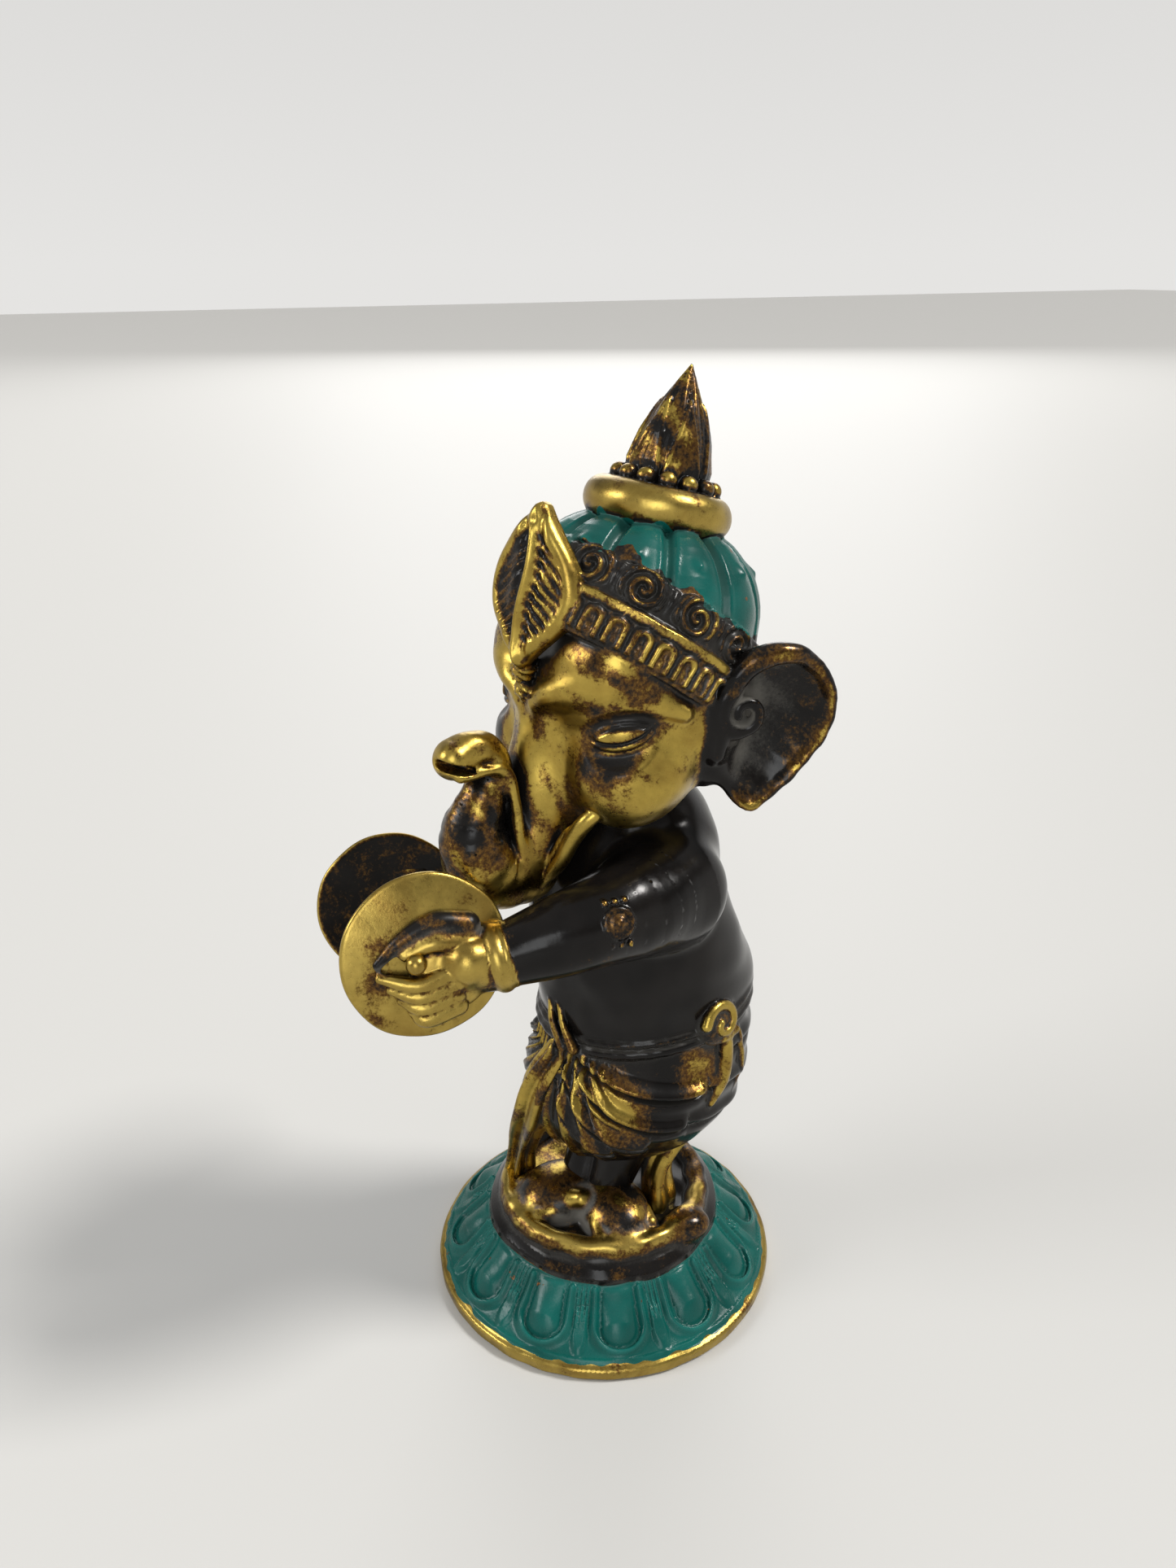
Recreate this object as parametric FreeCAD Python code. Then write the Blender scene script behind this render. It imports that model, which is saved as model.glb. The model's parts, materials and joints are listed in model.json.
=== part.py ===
import FreeCAD, Part
import math
import os

# Elephant-headed temple musician holding a pair of hand cymbals, on a round lotus base.
# Frame: origin at the centre of the base on the ground, +Z up, the figure faces -Y. Millimetres.

V = FreeCAD.Vector
Z = V(0, 0, 1)

# ---- base -------------------------------------------------------------------------------
BASE_R = 36.0            # rim radius
RIM_H = 2.4              # height of the plain rim band
SLOPE_TOP_R = 24.6       # where the lotus slope meets the mound
SLOPE_TOP_Z = 13.0
PETALS = 12
PETAL_FIRST = 14.0       # direction of the first petal, degrees from -Y towards +X
MOUND_R = 24.4
MOUND_TOP_R = 20.6
MOUND_Z = 17.6
LIP_R = 20.4
LIP_TUBE = 1.7
# ---- lower body -------------------------------------------------------------------------
HEM_Z = 32.5
WAIST_Z = 62.0
BELT_TUBE = 1.7
# ---- upper body -------------------------------------------------------------------------
NECK_Z = 105.0
SHOULDER = V(14.5, 6.0, 92.5)
ELBOW = V(21.0, -9.0, 92.0)
WRIST = V(20.5, -28.5, 92.0)
HAND = V(21.0, -36.5, 94.5)
RIGHT_DROP = 9.5         # the right hand is held lower than the left
# ---- cymbals ----------------------------------------------------------------------------
CYMBAL_R = 14.4
CYMBAL_T = 1.5
CYMBAL_C = V(18.0, -39.0, 94.5)
CYMBAL_AXIS = 15.0       # the common axis climbs this much towards the left hand
RIVET_R = 1.7
# ---- head -------------------------------------------------------------------------------
HEAD_C = V(0, 5.0, 129.0)
HEAD_R = V(21.5, 21.5, 21.0)
HEAD_TURN = 15.0         # head looks a little to the figure's left
CROWN_C = V(0, 1.5, 13.0)   # from the head centre, before the turn
CROWN_TILT = 16.0        # crown leans back
BAND_TILT = 24.0         # the head band leans back further
BAND_R = 22.6
BAND_H = 11.0
BAND_TOP = 3.2           # height of the joint between band and cap on the crown axis
DOME_R = 21.4
DOME_H = 17.0
RING_R = 9.9
RING_TUBE = 3.1
COLLAR_R = 8.6
FINIAL_R = 8.0
FINIAL_H = 21.0
BEADS = 14


def cyl(p, d, r, h):
    return Part.makeCylinder(r, h, p, d)


def ball(p, r):
    return Part.makeSphere(r, p)


def ellipsoid(c, r, yaw=0.0, pitch=0.0):
    s = Part.makeSphere(1.0)
    s.rotate(V(0, 0, 0), V(0.3, 0.2, 1.0), 37)
    m = FreeCAD.Matrix()
    m.scale(r)
    s = s.transformGeometry(m)
    s.rotate(V(0, 0, 0), V(1, 0, 0), pitch)
    s.rotate(V(0, 0, 0), Z, yaw)
    s.translate(c)
    return s


def oval(z, cy, rx, ry):
    """Closed elliptical section in the horizontal plane."""
    if rx >= ry:
        e = Part.Ellipse(V(0, cy, z), rx, ry)
    else:
        e = Part.Ellipse(V(0, cy + ry, z), V(rx, cy, z), V(0, cy, z))
    return Part.Wire([e.toShape()])


def body_loft(rows):
    """Loft through rows of (z, centre y, half width, half depth)."""
    return Part.makeLoft([oval(*r) for r in rows], True, False)


def limb(stations):
    """Tapered limb through stations of (point, radius), rounded at every station."""
    pieces = [ball(p, r) for p, r in stations]
    for (a, ra), (b, rb) in zip(stations, stations[1:]):
        d = b.sub(a)
        n = d.Length
        ca = (ra - rb) / n
        sa = 0.9995 * math.sqrt(max(0.0, 1 - ca ** 2))
        u = V(d).normalize()
        p, q = a + u * (ra * ca), b + u * (rb * ca)
        if abs(ra - rb) > 1e-6:
            pieces.append(Part.makeCone(ra * sa, rb * sa, q.sub(p).Length, p, u))
        else:
            pieces.append(cyl(p, u, ra * sa, n))
    return pieces[0].multiFuse(pieces[1:])


def revolved(points):
    w = Part.makePolygon([V(x, 0, z) for x, z in points] + [V(points[0][0], 0, points[0][1])])
    return Part.Face(w).revolve(V(0, 0, 0), Z, 360)


def ring(c, d, r, tube):
    return Part.makeTorus(r, tube, c, d)


def mirrored(s):
    return s.mirror(V(0, 0, 0), V(1, 0, 0))


def in_head(s):
    """Carry a shape drawn about the head centre to its place, with the turn of the head."""
    s = s.copy()
    s.rotate(V(0, 0, 0), Z, HEAD_TURN)
    s.translate(HEAD_C)
    return s


def in_crown(s, tilt=CROWN_TILT):
    """Carry a shape drawn on the crown axis to its place on the leaning crown."""
    s = s.copy()
    s.rotate(V(0, 0, 0), V(1, 0, 0), -tilt)
    s.translate(CROWN_C)
    return in_head(s)


# ---- base -------------------------------------------------------------------------------
def slope(t):
    """Point (radius, height) on the lotus slope, t from 0 at the rim to 1 at the mound."""
    r = 35.0 + (SLOPE_TOP_R - 35.0) * t
    z = 2.9 + (SLOPE_TOP_Z - 2.9) * (0.55 * t + 0.45 * t * t)
    return r, z


def base_shell():
    """Cast foot of the base: plain rim, seat for the lotus band and a flat underside."""
    outer = [(BASE_R - 0.4, 0), (BASE_R, 0.5), (BASE_R, RIM_H - 0.4), (BASE_R - 0.5, RIM_H)]
    skirt = [(slope(t / 8.0)[0] - 1.0, slope(t / 8.0)[1] - 0.9) for t in range(9)]
    top = [(SLOPE_TOP_R - 1.0, SLOPE_TOP_Z - 0.5), (0, SLOPE_TOP_Z - 0.5), (0, 0)]
    return revolved(outer + skirt + top)


def lotus_band():
    low = [(slope(t / 8.0)[0] - 1.0, slope(t / 8.0)[1] - 0.9) for t in range(9)]
    high = [slope(t / 8.0) for t in range(8, -1, -1)]
    skin = revolved([(BASE_R - 0.6, RIM_H)] + low + high + [(BASE_R - 0.5, RIM_H + 0.3)])
    r1, z1 = slope(0.2)
    r2, z2 = slope(0.86)
    lean = math.degrees(math.atan2(z2 - z1, r1 - r2))
    mid_r, mid_z = slope(0.5)
    pads = []
    for i in range(2 * PETALS):
        wide = i % 2 == 0
        size = V(5.4, 5.5, 1.4) if wide else V(1.7, 5.3, 0.95)
        pad = ellipsoid(V(0, 0, 0), size)
        pad.rotate(V(0, 0, 0), V(1, 0, 0), lean)
        pad.translate(V(0, -mid_r, mid_z - 0.05))
        pad.rotate(V(0, 0, 0), Z, PETAL_FIRST + 15.0 * i)
        pads.append(pad)
    return skin.multiFuse(pads)


def mound():
    body = revolved([(0, SLOPE_TOP_Z - 0.5), (SLOPE_TOP_R - 1.0, SLOPE_TOP_Z - 0.5),
                     (SLOPE_TOP_R - 0.2, SLOPE_TOP_Z), (MOUND_R, SLOPE_TOP_Z + 1.2),
                     (MOUND_R - 1.6, SLOPE_TOP_Z + 3.0), (MOUND_TOP_R, MOUND_Z), (0, MOUND_Z)])
    return body.fuse(cyl(V(0, 0, SLOPE_TOP_Z - 2.4), Z, 8.0, 3.0))


def mound_lip():
    return ring(V(0, 0, MOUND_Z + 0.5), Z, LIP_R, LIP_TUBE)


# ---- legs and cloth ---------------------------------------------------------------------
FEET = ((V(1.5, -7.5, MOUND_Z), V(0, -1, 0)), (V(7.4, -1.8, MOUND_Z), V(1, 0, 0)))   # right, left


def foot(k):
    heel, d = FEET[k]
    side = d.cross(Z)
    s = ellipsoid(heel + d * 3.6 + V(0, 0, 0.6), V(5.4, 7.6, 3.6), math.degrees(math.atan2(d.x, -d.y)))
    for i in range(4):
        p = heel + d * (9.2 - 0.35 * abs(i - 1.2)) + side * (2.5 * (i - 1.5)) + V(0, 0, 1.4)
        s = s.fuse(ball(p, 1.75 - 0.12 * i))
    s = s.common(Part.makeBox(60, 60, 20, V(-30, -30, MOUND_Z)))
    return s.fuse(cyl(heel + d * 3.0 - V(0, 0, 2.0), Z, 2.2, 3.0))


LEG_TOP = (V(-3.0, 3.0, 40.0), V(6.0, 6.0, 40.0))


def leg(k):
    heel, d = FEET[k]
    ankle = heel + d * 1.0 + V(0, 0, 3.4)
    return limb([(ankle, 3.6), (ankle + (LEG_TOP[k] - ankle) * 0.5, 5.0), (LEG_TOP[k], 5.6)])


def dhoti():
    return body_loft([(HEM_Z, 5.0, 10.0, 11.5), (HEM_Z + 3, 5.2, 15.0, 16.5), (HEM_Z + 8, 5.8, 19.0, 20.6),
                      (48, 6.8, 20.6, 22.6), (55, 8.6, 20.2, 22.2), (WAIST_Z, 9.2, 18.9, 20.9)])


def torso():
    body = body_loft([(WAIST_Z, 9.2, 18.4, 20.4), (68, 9.4, 19.8, 21.8), (75, 8.2, 20.0, 21.6),
                      (83, 6.4, 19.4, 20.8), (90, 5.4, 18.4, 19.4), (97, 5.0, 16.2, 17.2),
                      (102, 5.0, 13.0, 13.8), (NECK_Z, 5.2, 10.6, 11.4)])
    return body.fuse(cyl(V(0, 8.4, WAIST_Z - 8), Z, 9.0, 9.0))


def waist_belt():
    """Rolled belt in the groove between the body and the wrapped cloth."""
    path = Part.Ellipse(V(0, 21.2, 0), V(19.2, 0, 0), V(0, 0, 0))
    path = Part.Wire([path.toShape()])
    start = path.Vertexes[0].Point
    tube = Part.Wire([Part.Circle(start, V(1, 0, 0), BELT_TUBE).toShape()])
    s = path.makePipeShell([tube], True, True)
    s.translate(V(0, 9.2, WAIST_Z + 0.2))
    return s


def front_pleat():
    rows = [(V(4.0, -11.4, 58.0), 3.2), (V(3.0, -15.0, 47.0), 3.8), (V(-1.0, -15.4, 37.0), 3.4),
            (V(-5.0, -15.6, 28.0), 2.5), (V(-7.0, -15.2, MOUND_Z + 1.6), 2.0)]
    return limb(rows)


def back_tail():
    rows = [(V(9.0, 26.6, 56.0), 2.6), (V(10.0, 22.6, 43.0), 2.8), (V(11.0, 15.6, 31.0), 2.8),
            (V(11.5, 12.5, MOUND_Z + 1.9), 2.5)]
    return limb(rows)


def sash_knot():
    """Round knot of the sash on the left hip with a coiled rim."""
    c = V(16.6, 19.0, 62.5)
    d = V(0.74, 0.64, 0.2)
    d.normalize()
    s = cyl(c - d * 3.5, d, 3.4, 5.2).fuse(ring(c + d * 1.4, d, 3.0, 1.2))
    return s.fuse(ball(c + d * 1.6, 1.3))


# ---- arms and cymbals -------------------------------------------------------------------
def arm_points(k):
    """Shoulder, elbow, wrist and hand of the right (0) or left (1) arm."""
    pts = [V(SHOULDER), V(ELBOW), V(WRIST), V(HAND)]
    if k == 1:
        return pts
    drop = (0.0, 0.35, 0.95, 1.0)
    return [V(-p.x, p.y + 1.6 * t, p.z - RIGHT_DROP * t) for p, t in zip(pts, drop)]


def arm(k):
    sh, el, wr, hand = arm_points(k)
    s = limb([(sh, 11.2), (el, 9.4), (wr, 5.2)])
    d = V(-sh.x, 0, -2.0)
    d.normalize()
    return s.fuse(cyl(sh, d, 4.0, 14.0))


def cymbal_frame(k):
    a = math.radians(CYMBAL_AXIS)
    d = V(math.cos(a), 0, math.sin(a))
    if k == 1:
        return V(CYMBAL_C), d
    return V(-CYMBAL_C.x, CYMBAL_C.y + 1.6, CYMBAL_C.z - RIGHT_DROP), d * -1


def cymbal(k):
    """Shallow dished disc, its hollow side towards the other cymbal."""
    c, d = cymbal_frame(k)
    r, t = CYMBAL_R, CYMBAL_T
    prof = [(0, 1.0), (4.0, 0.9), (9.0, 0.3), (r, -0.9), (r, -0.9 + t * 0.75), (9.0, 0.3 + t), (4.0, 0.9 + t),
            (0, 1.0 + t)]
    s = revolved(prof)
    s.rotate(V(0, 0, 0), V(0, 1, 0), 90 - math.degrees(math.asin(d.z)) if d.x > 0 else
             -90 + math.degrees(math.asin(d.z)))
    s.translate(c)
    return s


def rivet(k):
    c, d = cymbal_frame(k)
    rise = math.sqrt(RIVET_R ** 2 - 0.9 ** 2)
    domed = [(RIVET_R * math.cos(a), 6.2 + RIVET_R * math.sin(a))
             for a in [math.radians(t) for t in (-45, -30, -15, 0, 15, 30, 45, 60, 75)]]
    s = revolved([(0, -0.2), (0.9, -0.2), (0.9, 0.1), (2.0, 0.1), (2.0, 0.9), (0.9, 0.9), (0.9, 6.2 - rise)]
                 + domed + [(0, 6.2 + RIVET_R)])
    s.Placement = FreeCAD.Placement(c + V(0, -2.6, 0.2), FreeCAD.Rotation(Z, d))
    return s


def hand(k):
    c, d = cymbal_frame(k)
    sh, el, wr, h = arm_points(k)
    palm = cyl(c + d * 0.6 + V(0, 1.6, -1.6), d, 6.4, 4.6)
    palm = palm.makeFillet(2.0, [palm.Edges[0] if palm.Edges[0].CenterOfMass.sub(c).dot(d) > 3 else palm.Edges[2]])
    s = palm.fuse(limb([(wr + V(0, 2.0, 0), 4.2), (c + d * 3.2 + V(0, 5.0, -1.4), 4.4)]))
    for i in range(4):
        p = c + d * 3.4 + V(0, -2.6, -5.4 + 2.1 * i)
        s = s.fuse(limb([(p, 1.5), (p + V(0, -4.6 + 0.5 * abs(i - 1.5), 0.2) - d * 0.2, 1.1)]))
    w = wr.sub(el)
    w.normalize()
    return s.fuse(cyl(wr - w * 7.0, w, 3.0, 8.0))


def bracelet(k):
    sh, el, wr, h = arm_points(k)
    w = wr.sub(el)
    w.normalize()
    return ring(wr - w * 0.6, w, 5.2, 1.4)


def armlet(k):
    """Round medallion on the upper arm, pinned through its centre."""
    c = V(27.6, -5.6, 100.4)
    d = V(0.76, 0.04, 0.65)
    if k == 0:
        c, d = V(-c.x, c.y, c.z - 2.6), V(-d.x, d.y, d.z)
    d.normalize()
    s = cyl(c - d * 4.2, d, 2.9, 2.6).fuse(ring(c - d * 1.7, d, 2.3, 0.8)).fuse(ball(c - d * 1.5, 1.2))
    return s.fuse(cyl(c - d * 7.5, d, 1.0, 4.0))


# ---- head -------------------------------------------------------------------------------
def head():
    s = ellipsoid(V(0, 0, 0), HEAD_R)
    for k in (-1, 1):
        s = s.fuse(ellipsoid(V(11.5 * k, -9.0, -9.0), V(9.6, 10.0, 9.6)))
    s = s.fuse(ellipsoid(V(0, -9.0, -13.5), V(8.5, 9.5, 9.0)))
    s = in_head(s)
    neck = cyl(V(0, 5.4, NECK_Z - 12), Z, 7.5, 20.0)
    return s.fuse(neck)


def trunk():
    """Comes down from between the eyes, bends forward, curls up and ends in an open tip."""
    root = [(V(0, -16.5, 0.0), 5.6), (V(0, -19.0, -12.0), 7.2), (V(0, -19.5, -21.0), 7.4),
            (V(0, -26.0, -26.0), 7.2)]
    curl = [(V(0, -26.0, -26.0), 7.2), (V(0, -32.2, -22.5), 6.6), (V(0, -31.5, -14.0), 4.6),
            (V(0, -29.6, -7.6), 3.9), (V(0, -31.6, -3.6), 3.8), (V(0.6, -36.4, -4.0), 3.4)]
    s = limb(root).fuse(limb(curl))
    slot = ellipsoid(V(0.7, -39.8, -4.2), V(1.4, 2.2, 2.4))
    return in_head(s.cut(slot))


def ear(k):
    """Cupped ear: a thick rim round a hollow, with an inner coil and a pin into the head."""
    side = 1 if k == 1 else -1
    c = V(24.6, 12.2, -2.4)
    outer = ellipsoid(V(0, 0, 0), V(5.2, 11.0, 14.4), 0, -14)
    hollow = ellipsoid(V(3.6, -0.6, 0), V(5.4, 8.7, 12.0), 0, -14)
    s = outer.cut(hollow)
    s = s.fuse(cyl(V(-12.0, -8.0, -1.0), V(1, 0, 0), 2.6, 11.0)).fuse(ball(V(-1.2, -6.6, 3.0), 3.1))
    s.rotate(V(0, 0, 0), Z, -24)
    s.translate(c)
    if side < 0:
        s = mirrored(s)
    return in_head(s)


def headband():
    band = revolved([(17.6, -BAND_H * 0.62), (BAND_R - 1.3, -BAND_H * 0.62), (BAND_R, -BAND_H * 0.5),
                     (BAND_R, 0.0), (BAND_R + 0.6, 0.6), (BAND_R - 0.2, 1.4), (BAND_R - 0.8, BAND_TOP),
                     (17.6, BAND_TOP)])
    return in_crown(band, BAND_TILT)


def crown_dome():
    """Lobed cap above the band, with a tenon down into the head."""
    rows = [(DOME_R * math.cos(math.radians(a)) ** 0.8, 3.0 + DOME_H * math.sin(math.radians(a)))
            for a in range(0, 56, 8)]
    rows += [(10.0, 3.0 + DOME_H), (0, 3.0 + DOME_H), (0, -9.0), (DOME_R, -9.0)]
    cap = in_crown(revolved(rows))
    above = in_crown(Part.makeBox(80, 80, 60, V(-40, -40, BAND_TOP)), BAND_TILT)
    return cap.common(above).fuse(in_crown(cyl(V(0, 0, -4.0), Z, 6.0, 9.0), BAND_TILT))


def crown_ring():
    return in_crown(ring(V(0, 0, 3.0 + DOME_H), Z, RING_R, RING_TUBE))


def bead_collar():
    h = 3.0 + DOME_H + 2.6
    s = cyl(V(0, 0, h - 2.6), Z, COLLAR_R - 0.35, 3.6)
    for i in range(BEADS):
        a = math.radians(360.0 / BEADS * (i + 0.37))
        s = s.fuse(ball(V(COLLAR_R * math.cos(a), COLLAR_R * math.sin(a), h), 1.5))
    return in_crown(s)


def finial():
    h = 3.0 + DOME_H + 3.6
    rows = [(0, h), (FINIAL_R - 0.8, h), (FINIAL_R, h + 2.5), (FINIAL_R * 0.93, h + 6.0),
            (FINIAL_R * 0.72, h + 10.5), (FINIAL_R * 0.42, h + 15.5), (0.9, h + FINIAL_H), (0, h + FINIAL_H + 0.4)]
    s = revolved(rows).fuse(cyl(V(0, 0, h - 9.0), Z, 3.0, 10.0))
    return in_crown(s)


def leaf_ornament():
    """Broad pointed leaf standing on the brow, keel outwards."""
    s = ellipsoid(V(0, 0, 0), V(9.6, 3.2, 11.0))
    s = s.fuse(Part.makeCone(4.2, 0.5, 7.0, V(0, 0, 7.6), Z)).fuse(Part.makeCone(3.6, 0.9, 6.0, V(0, 0, -8.0), Z * -1))
    s.rotate(V(0, 0, 0), V(1, 0, 0), -16)
    s.translate(V(0, -20.6, 20.5))
    return in_head(s.fuse(cyl(V(0, -20.0, 18.0), V(0, 1, 0), 1.5, 6.0)))


def brow_braid():
    return in_head(limb([(V(0, -21.8, 9.5), 1.9), (V(0, -21.7, 7.2), 1.6)]))


# Earlier names keep their full shape; every later one is cut where it meets them, so each
# pin or tenon above finds its own socket.
ORDER = [
    ("rivet_right", lambda: rivet(0)), ("rivet_left", lambda: rivet(1)),
    ("cymbal_right", lambda: cymbal(0)), ("cymbal_left", lambda: cymbal(1)),
    ("bracelet_right", lambda: bracelet(0)), ("bracelet_left", lambda: bracelet(1)),
    ("armlet_right", lambda: armlet(0)), ("armlet_left", lambda: armlet(1)),
    ("hand_right", lambda: hand(0)), ("hand_left", lambda: hand(1)),
    ("leaf_ornament", leaf_ornament), ("brow_braid", brow_braid),
    ("finial", finial), ("bead_collar", bead_collar), ("crown_ring", crown_ring),
    ("crown_dome", crown_dome), ("headband", headband),
    ("trunk", trunk), ("ear_right", lambda: ear(0)), ("ear_left", lambda: ear(1)),
    ("head", head), ("arm_right", lambda: arm(0)), ("arm_left", lambda: arm(1)),
    ("sash_knot", sash_knot), ("waist_belt", waist_belt),
    ("front_pleat", front_pleat), ("back_tail", back_tail),
    ("torso", torso), ("leg_right", lambda: leg(0)), ("leg_left", lambda: leg(1)), ("dhoti", dhoti),
    ("foot_right", lambda: foot(0)), ("foot_left", lambda: foot(1)),
    ("mound_lip", mound_lip), ("mound", mound),
    ("lotus_band", lotus_band), ("base_shell", base_shell),
]


def main_solid(s):
    """The largest solid, without slivers left by a cut."""
    return max(s.Solids, key=lambda b: b.Volume)


def sound(s):
    """Keep the main solid and tidy its seams if a cut left them loose."""
    s = main_solid(s)
    if not s.isValid():
        s.fix(1e-3, 1e-3, 1e-2)
    return s


FUZZ = 0.002


def near(a, b):
    return a.BoundBox.intersect(b.BoundBox)


os.makedirs("parts", exist_ok=True)
raw = []
for name, make in ORDER:
    full = make()
    tools = [other for other in raw if near(full, other)]
    shape = full.cut(tools, FUZZ) if tools else full
    shape = sound(shape)
    raw.append(full)
    print(name, "valid", shape.isValid(), "volume", round(shape.Volume, 1), "solids left", len(shape.Solids))
    shape.exportStep("parts/" + name + ".step")
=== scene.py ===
import json
import math

import bpy
import numpy as np
from mathutils import Matrix, Vector


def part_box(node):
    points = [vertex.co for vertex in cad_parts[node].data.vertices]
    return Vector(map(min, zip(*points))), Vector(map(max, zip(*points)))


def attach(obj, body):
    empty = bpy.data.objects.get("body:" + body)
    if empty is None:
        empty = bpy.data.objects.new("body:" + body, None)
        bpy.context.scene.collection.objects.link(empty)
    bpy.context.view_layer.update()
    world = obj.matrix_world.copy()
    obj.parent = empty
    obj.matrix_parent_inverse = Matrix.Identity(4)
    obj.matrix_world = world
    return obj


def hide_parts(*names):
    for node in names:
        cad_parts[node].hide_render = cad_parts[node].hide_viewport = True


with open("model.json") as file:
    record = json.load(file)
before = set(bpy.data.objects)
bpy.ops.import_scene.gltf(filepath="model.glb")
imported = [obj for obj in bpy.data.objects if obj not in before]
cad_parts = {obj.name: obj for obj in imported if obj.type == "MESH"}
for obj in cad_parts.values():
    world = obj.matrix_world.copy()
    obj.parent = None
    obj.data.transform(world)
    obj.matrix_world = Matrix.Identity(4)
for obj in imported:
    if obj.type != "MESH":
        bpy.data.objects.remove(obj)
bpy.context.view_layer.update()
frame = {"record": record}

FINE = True
F = np.float32
BIG = F(60.0)

# The figure is sculpted as signed distance fields in millimetres, in the frame's own axes, one
# field for the base, one for the body and one for the head. Each field is meshed once and split
# into the same named pieces as the frame, so that neighbours meet along one shared edge.


def mm(node):
    lo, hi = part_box(node)
    return np.array(lo) * 1000.0, np.array(hi) * 1000.0


# ---------------------------------------------------------------- distance helpers
def vec(*a):
    return np.array(a, F)


def norm(q):
    return np.sqrt(np.einsum("ij,ij->i", q, q))


def ell(P, c, r, R=None):
    q = P - vec(*c)
    if R is not None:
        q = q @ R
    r = vec(*r)
    k0 = norm(q / r)
    k1 = norm(q / (r * r))
    return k0 * (k0 - 1) / np.maximum(k1, 1e-6)


def cap(P, a, b, ra, rb):
    a, b = vec(*a), vec(*b)
    ab = b - a
    q = P - a
    t = np.clip((q @ ab) / (ab @ ab), 0, 1)
    return norm(q - t[:, None] * ab) - (ra + (rb - ra) * t)


def smin(a, b, k):
    h = np.maximum(k - np.abs(a - b), 0) / k
    return np.minimum(a, b) - h * h * k * F(0.25)


def smax(a, b, k):
    return -smin(-a, -b, k)


def bump(x, w):
    return np.exp(-(x / w) ** 2)


def step(x, w):
    t = np.clip(x / w * 0.5 + 0.5, 0, 1)
    return t * t * (3 - 2 * t)


def curve(points, radii, n=5):
    """Smooth list of stations through a few points, with a radius at each."""
    p = np.array(points, float)
    r = np.array(radii, float)
    e = np.vstack([2 * p[0] - p[1], p, 2 * p[-1] - p[-2]])
    s = np.concatenate([[2 * r[0] - r[1]], r, [2 * r[-1] - r[-2]]])
    out, rad = [], []
    for i in range(1, len(e) - 2):
        for j in range(n):
            t = j / n
            m = 0.5 * np.array([-t**3 + 2 * t * t - t, 3 * t**3 - 5 * t * t + 2, -3 * t**3 + 4 * t * t + t,
                                t**3 - t * t])
            out.append(m @ e[i - 1:i + 3])
            rad.append(max(0.1, float(m @ s[i - 1:i + 3])))
    out.append(p[-1])
    rad.append(r[-1])
    return np.array(out), np.array(rad)


def tube(P, stations, along=False):
    """Distance to a rounded tube through the stations, and how far along it (0 to 1) if asked."""
    pts, rad = stations[0].astype(F), np.asarray(stations[1]).astype(F)
    n = len(pts) - 1
    d = np.full(len(P), BIG * 9, F)
    best = np.zeros(len(P), F)
    for i in range(n):
        ab = pts[i + 1] - pts[i]
        q = P - pts[i]
        t = np.clip((q @ ab) / max(float(ab @ ab), 1e-9), 0, 1)
        e = norm(q - t[:, None] * ab) - rad[i] - (rad[i + 1] - rad[i]) * t
        best = np.where(e < d, i + t, best)
        d = np.minimum(d, e)
    tan = np.gradient(pts, axis=0).astype(F)
    slope_r = np.gradient(rad).astype(F)
    near = np.where(d < 6.0)[0]
    if len(near) and n > 2:  # settle onto the smooth curve through the stations
        Q, s = P[near], best[near]
        for _ in range(2):
            i = np.clip(s.astype(int), 0, n - 1)
            f = (s - i)[:, None]
            p0, p1, m0, m1 = pts[i], pts[i + 1], tan[i], tan[i + 1]
            c = (2 * f**3 - 3 * f**2 + 1) * p0 + (f**3 - 2 * f**2 + f) * m0 + (3 * f**2 - 2 * f**3) * p1 \
                + (f**3 - f**2) * m1
            dc = (6 * f**2 - 6 * f) * (p0 - p1) + (3 * f**2 - 4 * f + 1) * m0 + (3 * f**2 - 2 * f) * m1
            move = np.einsum("ij,ij->i", Q - c, dc) / np.maximum(np.einsum("ij,ij->i", dc, dc), 1e-6)
            s = np.clip(s + np.clip(move, -0.6, 0.6), 0, n).astype(F)
        i = np.clip(s.astype(int), 0, n - 1)
        f = s - i
        g = f[:, None]
        c = (2 * g**3 - 3 * g**2 + 1) * pts[i] + (g**3 - 2 * g**2 + g) * tan[i] \
            + (3 * g**2 - 2 * g**3) * pts[i + 1] + (g**3 - g**2) * tan[i + 1]
        r = (2 * f**3 - 3 * f**2 + 1) * rad[i] + (f**3 - 2 * f**2 + f) * slope_r[i] \
            + (3 * f**2 - 2 * f**3) * rad[i + 1] + (f**3 - f**2) * slope_r[i + 1]
        d[near] = norm(Q - c) - r
        best[near] = s
    return (d, best / n) if along else d


def outline(points, n=5):
    """Closed smooth outline through a few corner points."""
    p = np.array(points, float)
    e = np.vstack([p[-1], p, p[0], p[1]])
    out = []
    for i in range(1, len(e) - 2):
        for j in range(n):
            t = j / n
            m = 0.5 * np.array([-t**3 + 2 * t * t - t, 3 * t**3 - 5 * t * t + 2, -3 * t**3 + 4 * t * t + t,
                                t**3 - t * t])
            out.append(m @ e[i - 1:i + 3])
    return np.array(out)


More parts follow.
